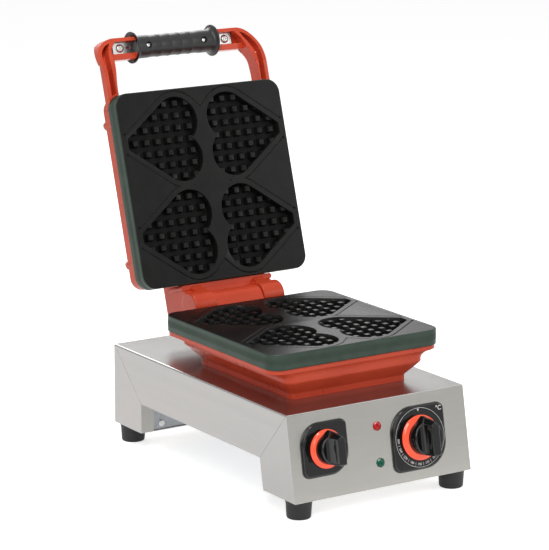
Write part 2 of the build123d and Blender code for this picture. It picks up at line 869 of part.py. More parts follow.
# Plate screws: from under the lower casting into the lower plate
with BuildPart() as plate_screws:
    with BuildSketch(Plane.XY.offset(body_top + thread_clear)):
        with Locations(*plate_screw_places):
            Circle(m6_head_radius)
    extrude(amount=m6_head)
    with BuildSketch(Plane.XY.offset(body_top + thread_clear + m6_head)):
        with Locations(*plate_screw_places):
            Circle(m6_radius)
    extrude(amount=plate_bottom + plate_screw_bite - 0.5 - body_top - thread_clear - m6_head)
keep("plate_screws", plate_screws)

# Casting bolts: from under the top panel into the casting's short bosses
with BuildPart() as casting_bolts:
    with BuildSketch(Plane.XY.offset(body_top - sheet)):
        with Locations(*casting_bolt_places):
            RegularPolygon(m6_head_radius, 6)
    extrude(amount=-m6_head)
    with BuildSketch(Plane.XY.offset(body_top - sheet)):
        with Locations(*casting_bolt_places):
            Circle(m6_radius)
    extrude(amount=sheet + casting_bolt_boss - 3)
keep("casting_bolts", casting_bolts)


def heating_element(level):
    """A tubular heater in one plane: two inner legs that turn out and meet round the front."""
    right_half = [
        (heater_leg_x, heater_end), (heater_leg_x, heater_turn), (heater_inner_x, heater_turn),
        (heater_inner_x, heater_back), (heater_outer_x, heater_back), (heater_outer_x, heater_front),
    ]
    left_half = [(-x, y) for x, y in reversed(right_half)]
    with BuildPart() as heater:
        with BuildLine(Plane.XY.offset(level)) as run:
            FilletPolyline(*right_half, *left_half, radius=heater_bend)
        with BuildSketch(Plane(origin=(heater_leg_x, heater_end, level), z_dir=(0, -1, 0))):
            Circle(heater_radius)
        sweep()
    return heater


lower_heater = heating_element(plate_bottom - heater_radius)
keep("lower_heater", lower_heater)
upper_heater = heating_element(lid_back + heater_radius)
keep("upper_heater", upper_heater, on_lid=True)


def wool_pad(low):
    """A mineral wool pad that keeps the heat off the outside."""
    with BuildPart() as pad:
        with BuildSketch(Plane.XY.offset(low)):
            outline(wool_half_width, wool_front, wool_rear, boss_radius)
        extrude(amount=wool_thickness)
    return pad


lower_insulation = wool_pad(body_top + casting_floor)
keep("lower_insulation", lower_insulation)

# Temperature probe: the thermostat's bulb, pressed up against the lower plate
with BuildPart() as temperature_probe:
    with BuildSketch(Plane.XZ.offset(probe_ahead - plate_middle)):
        with Locations((0, plate_bottom - probe_radius)):
            Circle(probe_radius)
    extrude(amount=-probe_ahead - probe_behind)
keep("temperature_probe", temperature_probe)


# Lid casting: rim, sloping shoulder and crown, hinge knuckles, tail and the two handle arms
rim_top = lid_back + lid_rim
lid_boss_top = rim_top + lid_boss_height
slope_top = rim_top + lid_slope
crown_top = slope_top + lid_crown


def lid_tiers(wall):
    """The lid casting's hollow tiers from the plate's back outwards, moved inwards by wall."""
    rim = (plate_half - lid_rim_inset, plate_front + lid_rim_inset, plate_rear - lid_rim_inset,
           plate_corner - lid_rim_inset)
    shoulder = (rim[0] - lid_slope_inset_x, rim[1] + lid_slope_inset_y, rim[2] - lid_slope_inset_y,
                plate_corner - 2)
    crown = (rim[0] - lid_crown_inset_x, rim[1] + lid_crown_inset_y, rim[2] - lid_crown_inset_y,
             plate_corner - 4)

    def drawn(shape):
        outline(shape[0] - wall, shape[1] + wall, shape[2] - wall, shape[3] - 0.6 * wall)

    with BuildPart() as tiers:
        with BuildSketch(Plane.XY.offset(lid_back)):
            drawn(rim)
        extrude(amount=lid_rim - wall / 2)
        with BuildSketch(Plane.XY.offset(rim_top - wall / 2)):
            drawn(rim)
        with BuildSketch(Plane.XY.offset(slope_top - wall / 2)):
            drawn(shoulder)
        loft(ruled=True)
        with BuildSketch(Plane.XY.offset(slope_top - wall / 2)):
            drawn(shoulder)
        with BuildSketch(Plane.XY.offset(crown_top - wall)):
            drawn(crown)
        loft(ruled=True)
    return tiers


def rising(rise, low, high):
    """An edge in the side view that runs level from the casting, rises and ends level over the stub."""
    start, end = plate_front + rise[0], plate_front + rise[1]
    Line((arm_start, lid_face + low), (start, lid_face + low))
    Spline((start, lid_face + low), (end, lid_face + high), tangents=((-1, 0), (-1, 0)))
    Line((end, lid_face + high), (2 * handle_top, lid_face + high))


def arm_blank():
    """The right handle arm as a solid: what its plan and its side view have in common."""
    corner_y = handle_top + handle_corner
    with BuildPart() as blank:
        with BuildSketch(Plane.XY.offset(lid_face)):
            with BuildLine():
                Line((arm_half_width, arm_start), (arm_half_width, corner_y))
                RadiusArc((arm_half_width, corner_y), (arm_half_width - handle_corner, handle_top),
                          handle_corner)
                Line((arm_half_width - handle_corner, handle_top), (stub_reach, handle_top))
                Line((stub_reach, handle_top), (stub_reach, handle_bottom))
                Line((stub_reach, handle_bottom), (arm_inner - inner_lean, handle_bottom))
                Spline((arm_inner - inner_lean, handle_bottom), (arm_inner, handle_bottom + inner_run),
                       (arm_inner, arm_start))
                Line((arm_inner, arm_start), (arm_half_width, arm_start))
            make_face()
        extrude(amount=stub_front + 2 * stub_depth)
        with BuildSketch(Plane.YZ):
            with BuildLine():
                rising(front_rise, arm_front, stub_front)
                Line((2 * handle_top, lid_face + stub_front),
                     (2 * handle_top, lid_face + stub_front + stub_depth))
                rising(back_rise, arm_front + arm_depth, stub_front + stub_depth)
                Line((arm_start, lid_face + arm_front + arm_depth), (arm_start, lid_face + arm_front))
            make_face()
        extrude(amount=body_width, mode=Mode.INTERSECT)
    return blank


def arm_channel_cutter():
    """The open channel down the arm's front, between its outer wall and the divider beside the stub."""
    corner_x = arm_half_width - handle_corner
    corner_y = handle_top + handle_corner
    wide = handle_corner - arm_wall
    top = (corner_x + wide * cos(radians(channel_turn)), corner_y - wide * sin(radians(channel_turn)))
    foot = (arm_inner + arm_wall, handle_bottom + inner_run)
    with BuildPart() as cutter:
        with BuildSketch(Plane.XY.offset(lid_face - arm_front)):
            with BuildLine():
                Line((corner_x + wide, arm_start), (corner_x + wide, corner_y))
                RadiusArc((corner_x + wide, corner_y), top, wide)
                ThreePointArc(top, (arm_half_width - channel_inset, handle_top + channel_middle), foot)
                Line(foot, (foot[0], arm_start))
                Line((foot[0], arm_start), (corner_x + wide, arm_start))
            make_face()
            with Locations((0, plate_middle)):
                RectangleRounded(plate_width + 2 * arm_web, plate_depth + 2 * arm_web,
                                 plate_corner + arm_web, mode=Mode.SUBTRACT)
        extrude(amount=arm_front + stub_front + stub_depth)
        with BuildSketch(Plane.YZ):
            with BuildLine():
                rising(front_rise, arm_front + arm_channel, stub_front + arm_channel)
                Line((2 * handle_top, lid_face + stub_front + arm_channel),
                     (2 * handle_top, lid_face - arm_front))
                Line((2 * handle_top, lid_face - arm_front), (arm_start, lid_face - arm_front))
                Line((arm_start, lid_face - arm_front), (arm_start, lid_face + arm_front + arm_channel))
            make_face()
        extrude(amount=body_width, mode=Mode.INTERSECT)
    return cutter


def arm_back_wedge():
    """What the slanted back of the arm's outer wall takes away: level, then climbing with the arm."""
    wide = 1.5 * arm_breadth
    bend = plate_front - back_cut_from
    level = lid_face + back_cut
    with BuildPart() as wedge:
        for start, end, climb in ((arm_start + arm_wall, bend - arm_wall, 0),
                                  (bend, 2 * handle_top, back_cut_climb)):
            with BuildSketch(Plane.XZ.offset(-start)):
                with BuildLine():
                    Polyline(
                        (arm_half_width + wide, level - wide * back_cut_slope),
                        (arm_half_width + wide, level + wide * back_cut_slope),
                        (arm_half_width - wide, level + wide * back_cut_slope),
                        close=True,
                    )
                make_face()
            extrude(amount=(start - end) * sqrt(1 + climb ** 2), dir=(0, -1, climb))
    return wedge


def stub_space(low, high, deep):
    """The space in front of the stub, or its pocket for the bar, up to the divider's inner face."""
    with BuildPart() as space:
        with BuildSketch(Plane.XY.offset(lid_face - arm_front)):
            with BuildLine():
                Polyline(
                    (0, divider_top_y), (arm_half_width - divider_top_inset, divider_top_y),
                    (arm_half_width - divider_inset, handle_top + divider_middle),
                    (arm_inner - inner_lean, handle_bottom), (arm_inner - inner_lean, arm_start),
                    (0, arm_start),
                    close=True,
                )
            make_face()
            with Locations((0, (low + high) / 2)):
                Rectangle(body_width, high - low, mode=Mode.INTERSECT)
        extrude(amount=arm_front + deep)
    return space


def grip_envelope(clear):
    """The grip with its flanges and their dishes filled flat, grown by a clearance."""
    with BuildPart() as envelope:
        with BuildSketch(Plane.XY.offset(grip_z)):
            with BuildLine():
                Polyline(
                    (0, bar_y), (0, bar_y - 2 * grip_flange_radius),
                    (grip_flange_x + clear, bar_y - 2 * grip_flange_radius),
                    (grip_flange_x + clear, bar_y - grip_dish_radius),
                    (grip_flange_x + clear - grip_dish_depth, bar_y - grip_dish_foot),
                    (grip_flange_x + clear - grip_dish_depth, bar_y),
                    close=True,
                )
            make_face()
        revolve(axis=grip_axis)
    return envelope


grip_axis = Axis((0, bar_y, grip_z), (1, 0, 0))
arm_made = arm_blank()
arm_groove = arm_channel_cutter()
arm_slant = arm_back_wedge()
stub_face = stub_space(divider_top_y, arm_start, stub_front)
bar_pocket = stub_space(divider_top_y, bar_y + bar_width / 2 + bar_clear, bar_seat)
grip_room = grip_envelope(stub_clear)
lid_outside = lid_tiers(0)
lid_inside = lid_tiers(casting_wall)
with BuildPart() as arm_right:
    add(arm_made.part)
    add(arm_slant.part, mode=Mode.SUBTRACT)
    add(arm_groove.part, mode=Mode.SUBTRACT)
    add(stub_face.part, mode=Mode.SUBTRACT)
    add(bar_pocket.part, mode=Mode.SUBTRACT)
    add(grip_room.part, mode=Mode.SUBTRACT)
    with BuildSketch(Plane.XY.offset(lid_face)):
        with Locations((0, plate_middle)):
            RectangleRounded(plate_width + 2 * arm_clear, plate_depth + 2 * arm_clear,
                             plate_corner + arm_clear)
    extrude(amount=plate_thickness, mode=Mode.SUBTRACT)
    add(lid_outside.part, mode=Mode.SUBTRACT)
    with BuildSketch(Plane.XY.offset(lid_face + bar_seat)):
        with Locations((bar_screw_x, bar_y)):
            Circle(m5_radius)
    extrude(amount=stub_depth, mode=Mode.SUBTRACT)
keep("arm_right", arm_right, on_lid=True)
with BuildPart() as arm_left:
    mirror(arm_right.part, about=Plane.YZ)
keep("arm_left", arm_left, on_lid=True)

# Lid casting: rim, sloping shoulder and crown, the strip behind the plate, two hinge knuckles and the tail
knuckle_spans = ((-knuckle_outer, -knuckle_inner), (knuckle_inner, knuckle_outer))
strip_low = lid_face + strip_front
with BuildPart() as upper_casting:
    add(lid_outside.part)
    with BuildSketch(Plane.XY.offset(strip_low)):
        outline(strip_half_width, plate_rear + strip_gap, plate_rear + strip_gap + strip_depth,
                strip_depth / 2)
    extrude(amount=rim_top - strip_low)
    with BuildSketch(Plane.XY.offset(lid_back)):
        outline(strip_half_width, plate_rear - 2 * casting_wall, plate_rear + strip_depth, 1)
    extrude(amount=lid_rim)
    for start, end in knuckle_spans:
        with BuildSketch(Plane.YZ.offset(start)):
            with Locations((hinge_y, hinge_z)):
                Circle(knuckle_radius)
            with Locations((plate_rear + strip_gap + strip_depth / 2, (strip_low + 5 + rim_top) / 2)):
                Rectangle(strip_depth, rim_top - strip_low - 5)
            make_hull()
        extrude(amount=end - start)
    tail_low = lid_face + tail_under
    with BuildSketch(Plane.YZ.offset(-tail_half_width)):
        with BuildLine():
            Polyline(
                (plate_rear - lid_slope_inset_y - 3 * casting_wall, tail_low),
                (tail_end, tail_low), (tail_end, tail_low + tail_thickness / 2),
                (tail_end - tail_thickness / 2, tail_low + tail_thickness),
                (plate_rear - lid_crown_inset_y - 2 * casting_wall, tail_low + tail_thickness),
                close=True,
            )
        make_face()
    extrude(amount=2 * tail_half_width)
    with BuildSketch(Plane.YZ.offset(-tail_half_width + tail_wall)):
        with BuildLine():
            Polyline(
                (plate_rear - lid_slope_inset_y - 3 * casting_wall, tail_low + tail_wall),
                (tail_end - tail_wall, tail_low + tail_wall),
                (tail_end - tail_wall, tail_low + tail_thickness / 2 - 1),
                (tail_end - tail_thickness / 2 - 1, tail_low + tail_thickness - tail_wall),
                (plate_rear - lid_crown_inset_y - 2 * casting_wall, tail_low + tail_thickness - tail_wall),
                close=True,
            )
        make_face()
    extrude(amount=2 * (tail_half_width - tail_wall), mode=Mode.SUBTRACT)
    add(lid_inside.part, mode=Mode.SUBTRACT)
    with BuildSketch(Plane.XY.offset(lid_back)):
        with Locations(*lid_bolt_places):
            Circle(lid_boss_radius)
    extrude(amount=lid_rim + lid_boss_height)
    with BuildSketch(Plane.XY.offset(lid_back)):
        with Locations(*lid_bolt_places):
            Circle(m6_radius + thread_clear)
    extrude(amount=lid_rim + lid_boss_height, mode=Mode.SUBTRACT)
    with BuildSketch(Plane.XY.offset(lid_boss_top)):
        with Locations(*lid_bolt_places):
            Circle(m6_head_radius + thread_clear)
    extrude(amount=lid_bolt_seat, mode=Mode.SUBTRACT)
    with BuildSketch(Plane.YZ.offset(-knuckle_outer)):
        with Locations((hinge_y, hinge_z)):
            Circle(pin_radius)
    extrude(amount=2 * knuckle_outer, mode=Mode.SUBTRACT)
keep("upper_casting", upper_casting, on_lid=True)

upper_insulation = wool_pad(crown_top - casting_wall - wool_thickness)
keep("upper_insulation", upper_insulation, on_lid=True)

# Lid cover: a flat plate screwed on the crown, over the heater's terminals
cover_screw_places = [
    (s * (cover_width / 2 - cover_corner), plate_middle + t * (cover_depth / 2 - cover_corner))
    for s in (-1, 1) for t in (-1, 1)
]
with BuildPart() as lid_cover:
    with BuildSketch(Plane.XY.offset(crown_top)):
        with Locations((0, plate_middle)):
            RectangleRounded(cover_width, cover_depth, cover_corner)
    extrude(amount=cover_gauge)
keep("lid_cover", lid_cover, on_lid=True)

lid_cover_screws = screw_heads(Plane.XY.offset(crown_top + cover_gauge), cover_screw_places,
                               m4_head_radius, m4_head)
keep("lid_cover_screws", lid_cover_screws, on_lid=True)

# Lid bolts: through the casting's rim bosses into the upper plate
with BuildPart() as lid_bolts:
    with BuildSketch(Plane.XY.offset(lid_boss_top)):
        with Locations(*lid_bolt_places):
            Circle(m6_head_radius)
    extrude(amount=m6_head - 1)
    with BuildSketch(Plane.XY.offset(lid_back - plate_screw_bite + 0.5)):
        with Locations(*lid_bolt_places):
            Circle(m6_radius)
    extrude(amount=lid_boss_top - lid_back + plate_screw_bite - 0.5)
keep("lid_bolts", lid_bolts, on_lid=True)

# Hinge pin: fixed in the lid's knuckles and turning in the bracket's barrel
with BuildPart() as hinge_pin:
    with BuildSketch(Plane.YZ.offset(-knuckle_outer)):
        with Locations((hinge_y, hinge_z)):
            Circle(pin_radius)
    extrude(amount=2 * knuckle_outer)
keep("hinge_pin", hinge_pin, on_lid=True)

# Handle bar: the flat plated bar that joins the two arms inside the grip
with BuildPart() as handle_bar:
    with BuildSketch(Plane.XY.offset(bar_front)):
        with Locations((0, bar_y)):
            Rectangle(2 * bar_half_length, bar_width)
        with Locations((-bar_screw_x, bar_y), (bar_screw_x, bar_y)):
            Circle(m5_radius + thread_clear, mode=Mode.SUBTRACT)
        with Locations((-grip_screw_x, bar_y), (grip_screw_x, bar_y)):
            Circle(m4_radius, mode=Mode.SUBTRACT)
        with Locations((-bar_slot_x, bar_y), (bar_slot_x, bar_y)):
            SlotOverall(2 * m4_radius + 2, m4_radius, mode=Mode.SUBTRACT)
    extrude(amount=bar_thickness)
keep("handle_bar", handle_bar, on_lid=True)

# Handle screws: one through each end of the bar into the arm
with BuildPart() as handle_screws:
    with BuildSketch(Plane.XY.offset(bar_front)):
        with Locations((-bar_screw_x, bar_y), (bar_screw_x, bar_y)):
            Circle(m5_head_radius)
    extrude(amount=-m5_head)
    fillet(handle_screws.edges().group_by(Axis.Z)[0], m5_head * 0.4)
    with BuildSketch(Plane.XY.offset(bar_front)):
        with Locations((-bar_screw_x, bar_y), (bar_screw_x, bar_y)):
            Circle(m5_radius)
    extrude(amount=bar_thickness + stub_front + stub_depth - bar_seat)
keep("handle_screws", handle_screws, on_lid=True)

# Grip: a moulded handle of two shells round the bar, with finger grooves and a dished flange at each end


def grip_half(front):
    """One shell of the grip: the front one lies towards the plate's face."""
    ridge_end = grip_ridge_pitch * (grip_ridges - 1) / 2
    with BuildPart() as shell:
        with BuildSketch(Plane.XY.offset(grip_z)):
            with BuildLine():
                Line((-grip_flange_x, bar_y), (-grip_flange_x, bar_y - grip_flange_radius))
                Line((-grip_flange_x, bar_y - grip_flange_radius),
                     (-grip_flange_x + grip_flange_rim, bar_y - grip_flange_radius))
                RadiusArc((-grip_flange_x + grip_flange_rim, bar_y - grip_flange_radius),
                          (-grip_body, bar_y - grip_radius), -grip_flange_radius + grip_radius / 3)
                Line((-grip_body, bar_y - grip_radius), (-ridge_end, bar_y - grip_radius))
                for ridge in range(grip_ridges - 1):
                    start = -ridge_end + ridge * grip_ridge_pitch
                    ThreePointArc(
                        (start, bar_y - grip_radius),
                        (start + grip_ridge_pitch / 2, bar_y - grip_radius + grip_waist),
                        (start + grip_ridge_pitch, bar_y - grip_radius),
                    )
                Line((ridge_end, bar_y - grip_radius), (grip_body, bar_y - grip_radius))
                RadiusArc((grip_body, bar_y - grip_radius),
                          (grip_flange_x - grip_flange_rim, bar_y - grip_flange_radius),
                          -grip_flange_radius + grip_radius / 3)
                Line((grip_flange_x - grip_flange_rim, bar_y - grip_flange_radius),
                     (grip_flange_x, bar_y - grip_flange_radius))
                Line((grip_flange_x, bar_y - grip_flange_radius), (grip_flange_x, bar_y))
                Line((grip_flange_x, bar_y), (-grip_flange_x, bar_y))
            make_face()
        revolve(axis=grip_axis)
        split(bisect_by=Plane.XY.offset(grip_z), keep=Keep.BOTTOM if front else Keep.TOP)
        for side in (-1, 1):
            with BuildSketch(Plane.XY.offset(grip_z)):
                with BuildLine():
                    Polyline(
                        (side * grip_flange_x, bar_y), (side * grip_flange_x, bar_y - grip_dish_radius),
                        (side * (grip_flange_x - grip_dish_depth), bar_y - grip_dish_foot),
                        (side * (grip_flange_x - grip_dish_depth), bar_y),
                        close=True,
                    )
                make_face()
            revolve(axis=grip_axis, mode=Mode.SUBTRACT)
        with BuildSketch(Plane.XY.offset(bar_front - grip_clear)):
            with Locations((0, bar_y)):
                Rectangle(2 * grip_flange_x, bar_width + 2 * grip_clear)
        extrude(amount=bar_thickness + 2 * grip_clear, mode=Mode.SUBTRACT)
        with BuildSketch(Plane.XY.offset(grip_z)):
            with Locations((-grip_screw_x, bar_y), (grip_screw_x, bar_y)):
                Circle(m4_radius + (thread_clear if front else 0))
        extrude(amount=-grip_radius if front else grip_radius / 2, mode=Mode.SUBTRACT)
        if front:
            with BuildSketch(Plane.XY.offset(grip_z - grip_radius)):
                with Locations((-grip_screw_x, bar_y), (grip_screw_x, bar_y)):
                    Circle(grip_recess_radius)
            extrude(amount=grip_recess, mode=Mode.SUBTRACT)
    return shell


grip_front = grip_half(True)
keep("grip_front", grip_front, on_lid=True)
grip_back = grip_half(False)
keep("grip_back", grip_back, on_lid=True)

# Grip screws: recessed in the front shell, through the bar, into the back shell
grip_recess_z = grip_z - grip_radius + grip_recess
with BuildPart() as grip_screws:
    with BuildSketch(Plane.XY.offset(grip_recess_z)):
        with Locations((-grip_screw_x, bar_y), (grip_screw_x, bar_y)):
            Circle(grip_recess_radius - thread_clear)
    extrude(amount=-m4_head)
    with BuildSketch(Plane.XY.offset(grip_recess_z)):
        with Locations((-grip_screw_x, bar_y), (grip_screw_x, bar_y)):
            Circle(m4_radius)
    extrude(amount=grip_z + grip_radius / 2 - 0.5 - grip_recess_z)
keep("grip_screws", grip_screws, on_lid=True)


def bezel(x, down, size, hole):
    """A control's black surround: a square with two opposite corners well rounded."""
    with BuildPart() as surround:
        with BuildSketch(panel_at(x, down)) as face:
            Rectangle(size, size)
            fillet([corner for corner in face.vertices() if corner.X * corner.Y < 0],
                   size * bezel_large_corner)
            fillet([corner for corner in face.vertices() if abs(corner.X - corner.Y) < sheet],
                   size * bezel_small_corner)
        extrude(amount=bezel_height, taper=12)
        with BuildSketch(panel_at(x, down)):
            Circle(hole)
        extrude(amount=bezel_height, mode=Mode.SUBTRACT)
        with BuildSketch(panel_at(x, down)):
            with Locations((-control_screw_pitch / 2, 0), (control_screw_pitch / 2, 0)):
                Circle(control_screw_head_radius + thread_clear)
        extrude(amount=control_screw_head + thread_clear, mode=Mode.SUBTRACT)
    return surround


def knob_skirt(x, down, base_radius, top_radius):
    """The coloured cone between a bezel and its knob."""
    with BuildPart() as cone:
        with BuildSketch(panel_at(x, down, bezel_height + knob_lift)):
            Circle(base_radius)
            Circle(shaft_bush_radius, mode=Mode.SUBTRACT)
        with BuildSketch(panel_at(x, down, bezel_height + knob_lift + skirt_rise)):
            Circle(top_radius)
            Circle(shaft_bush_radius, mode=Mode.SUBTRACT)
        loft(ruled=True)
    return cone


def knob(x, down, radius, pointer):
    """A round knob with a tall bar across it, and a pointer that slopes down from the bar's top."""
    base = bezel_height + knob_lift + skirt_rise
    touch_x = radius * sqrt(1 - (radius / pointer) ** 2)
    touch_y = radius ** 2 / pointer
    bar_end = pointer - (knob_height - knob_pointer_tip) / knob_pointer_slope
    with BuildPart() as cap:
        with BuildSketch(panel_at(x, down, base)):
            Circle(radius)
            with BuildLine():
                Polyline((0, 0), (touch_x, touch_y), (0, pointer), (-touch_x, touch_y), close=True)
            make_face()
        extrude(amount=knob_height)
        middle = Plane(origin=panel_at(x, down, base).origin, x_dir=panel.y_dir, z_dir=panel.x_dir)
        with BuildSketch(middle):
            with BuildLine():
                Polyline(
                    (bar_end, knob_height), (pointer, knob_pointer_tip), (2 * pointer, knob_pointer_tip),
                    (2 * pointer, 2 * knob_height), (bar_end, 2 * knob_height),
                    close=True,
                )
            make_face()
        extrude(amount=radius, both=True, mode=Mode.SUBTRACT)
        with BuildSketch(panel_at(x, down, base + knob_height)):
            for side in (-1, 1):
                with Locations((side * (knob_bar / 2 + radius), 0)):
                    Rectangle(2 * radius, 2 * radius)
        extrude(amount=-knob_scoop, taper=-14, mode=Mode.SUBTRACT)
        with BuildSketch(panel_at(x, down, base)):
            Circle(shaft_radius)
        extrude(amount=knob_socket, mode=Mode.SUBTRACT)
    return cap


def shaft(x, down):
    """A control's spindle, from its body behind the panel into the knob."""
    with BuildPart() as spindle:
        with BuildSketch(panel_at(x, down, -sheet - control_body_gap - shaft_depth)):
            Circle(shaft_radius)
        extrude(amount=shaft_depth + control_body_gap + sheet
                + bezel_height + knob_lift + skirt_rise + knob_socket)
    return spindle


def control_body(x, down, size):
    """A control's body behind the panel, with a bush round its spindle and two screw holes."""
    with BuildPart() as block:
        with BuildSketch(panel_at(x, down, -sheet - control_body_gap)):
            RectangleRounded(size[0], size[1], 3)
        extrude(amount=-size[2])
        with BuildSketch(panel_at(x, down, -sheet - control_body_gap)):
            with Locations((-control_screw_pitch / 2, 0), (control_screw_pitch / 2, 0)):
                Circle(2 * m4_radius)
        extrude(amount=control_body_gap)
        with BuildSketch(panel_at(x, down, -sheet)):
            with Locations((-control_screw_pitch / 2, 0), (control_screw_pitch / 2, 0)):
                Circle(m4_radius)
        extrude(amount=-control_body_gap - 6, mode=Mode.SUBTRACT)
        with BuildSketch(panel_at(x, down, -sheet - control_body_gap)):
            Circle(shaft_radius + shaft_running)
        extrude(amount=-shaft_depth - shaft_end_gap, mode=Mode.SUBTRACT)
    return block


thermostat_bezel = bezel(thermostat_x, thermostat_down, thermostat_bezel_size, shaft_hole_radius)
keep("thermostat_bezel", thermostat_bezel)
thermostat_skirt = knob_skirt(thermostat_x, thermostat_down, thermostat_skirt_radius,
                              thermostat_knob_radius)
keep("thermostat_skirt", thermostat_skirt)
thermostat_knob = knob(thermostat_x, thermostat_down, thermostat_knob_radius,
                       thermostat_skirt_radius - knob_pointer_inset)
keep("thermostat_knob", thermostat_knob)
thermostat_shaft = shaft(thermostat_x, thermostat_down)
keep("thermostat_shaft", thermostat_shaft)
thermostat = control_body(thermostat_x, thermostat_down, thermostat_body)
keep("thermostat", thermostat)

switch_bezel = bezel(switch_x, switch_down, switch_bezel_size, shaft_hole_radius)
keep("switch_bezel", switch_bezel)
switch_skirt = knob_skirt(switch_x, switch_down, switch_skirt_radius, switch_knob_radius)
keep("switch_skirt", switch_skirt)
switch_knob = knob(switch_x, switch_down, switch_knob_radius, switch_skirt_radius - knob_pointer_inset)
keep("switch_knob", switch_knob)
switch_shaft = shaft(switch_x, switch_down)
keep("switch_shaft", switch_shaft)
rotary_switch = control_body(switch_x, switch_down, switch_body)
keep("rotary_switch", rotary_switch)

# Control screws: two for each control, their heads in hollows behind its bezel
with BuildPart() as control_screws:
    for x, down in ((thermostat_x, thermostat_down), (switch_x, switch_down)):
        with BuildSketch(panel_at(x, down)):
            with Locations((-control_screw_pitch / 2, 0), (control_screw_pitch / 2, 0)):
                Circle(m4_radius)
        extrude(amount=-sheet - control_body_gap - 4)
        with BuildSketch(panel_at(x, down)):
            with Locations((-control_screw_pitch / 2, 0), (control_screw_pitch / 2, 0)):
                Circle(control_screw_head_radius)
        extrude(amount=control_screw_head)
keep("control_screws", control_screws)


def lamp(down):
    """A round pilot lamp: a domed lens and its body through the panel."""
    with BuildPart() as lens:
        with BuildSketch(panel_at(lamp_x, down)):
            Circle(lamp_radius)
        extrude(amount=lamp_rise, taper=22)
        with BuildSketch(panel_at(lamp_x, down)):
            Circle(lamp_hole_radius - thread_clear)
        extrude(amount=-lamp_body)
    return lens


red_lamp = lamp(red_lamp_down)
keep("red_lamp", red_lamp)
green_lamp = lamp(green_lamp_down)
keep("green_lamp", green_lamp)

with BuildPart() as lamp_nuts:
    for down in (red_lamp_down, green_lamp_down):
        with BuildSketch(panel_at(lamp_x, down, -sheet)):
            RegularPolygon(lamp_nut_radius, 6)
            Circle(lamp_hole_radius - thread_clear, mode=Mode.SUBTRACT)
        extrude(amount=-lamp_nut)
keep("lamp_nuts", lamp_nuts)

# Cable gland and its nut: where the mains cord would enter, through the rear panel
with BuildPart() as cable_gland:
    with BuildSketch(Plane.XZ.offset(-body_depth)):
        with Locations((gland_x, gland_z)):
            Circle(gland_flange_radius)
    extrude(amount=-gland_out / 3)
    with BuildSketch(Plane.XZ.offset(-body_depth - gland_out / 3)):
        with Locations((gland_x, gland_z)):
            Circle(gland_thread_radius + 2)
    extrude(amount=-2 * gland_out / 3, taper=10)
    with BuildSketch(Plane.XZ.offset(-body_depth)):
        with Locations((gland_x, gland_z)):
            Circle(gland_thread_radius)
    extrude(amount=gland_in)
    with BuildSketch(Plane.XZ.offset(-body_depth + gland_in)):
        with Locations((gland_x, gland_z)):
            Circle(gland_bore_radius)
    extrude(amount=-gland_in - gland_out, mode=Mode.SUBTRACT)
keep("cable_gland", cable_gland)

with BuildPart() as gland_nut:
    with BuildSketch(Plane.XZ.offset(-body_depth + sheet)):
        with Locations((gland_x, gland_z)):
            RegularPolygon(gland_flange_radius, 6)
            Circle(gland_thread_radius, mode=Mode.SUBTRACT)
    extrude(amount=gland_nut_thickness)
keep("gland_nut", gland_nut)

# Terminal block: on the tray behind the rear box's lip
with BuildPart() as terminal_block:
    with BuildSketch(Plane.XY.offset(foot_height + sheet)):
        with Locations((-gland_x + terminal_size[0] / 2, body_depth - terminal_from_back)):
            RectangleRounded(terminal_size[0], terminal_size[1], 2)
    extrude(amount=terminal_size[2])
keep("terminal_block", terminal_block)

# Earth stud: a screw through the rear panel with a nut inside
with BuildPart() as earth_stud:
    with BuildSketch(Plane.XZ.offset(-body_depth)):
        with Locations((earth_x, earth_z)):
            RegularPolygon(m5_nut_radius, 6)
    extrude(amount=-m5_nut)
    with BuildSketch(Plane.XZ.offset(-body_depth)):
        with Locations((earth_x, earth_z)):
            Circle(m5_radius)
    extrude(amount=sheet + 3 * m5_nut)
    with BuildSketch(Plane.XZ.offset(-body_depth + sheet)):
        with Locations((earth_x, earth_z)):
            RegularPolygon(m5_nut_radius, 6)
    extrude(amount=m5_nut)
keep("earth_stud", earth_stud)

# The lid is turned open, everything is moved onto the origin, and each piece is written
hinge_axis = Axis((0, hinge_y, hinge_z), (1, 0, 0))
for name in lid_pieces:
    pieces[name].part = pieces[name].part.rotate(hinge_axis, -lid_open)
boxes = [made.part.bounding_box() for made in pieces.values()]
origin_y = (min(box.min.Y for box in boxes) + max(box.max.Y for box in boxes)) / 2
os.makedirs("parts", exist_ok=True)
for name, made in pieces.items():
    made.part = made.part.moved(Location((0, -origin_y, 0)))
    made.part.label = name
    export_step(made.part, f"parts/{name}.step")
print("pieces", len(pieces), "origin y", round(origin_y, 3))
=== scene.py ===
"""The heart waffle maker, dressed: cast plates, painted castings, brushed sheet and moulded controls.

The frame is in metres. Shapes are written in millimetres, with y from the top edge of the sloping front
and the lid's own as they lie when it is shut; model() and on_lid() carry them into the frame.
"""

import json
import math

import bmesh
import bpy
import numpy as np
from mathutils import Matrix, Vector


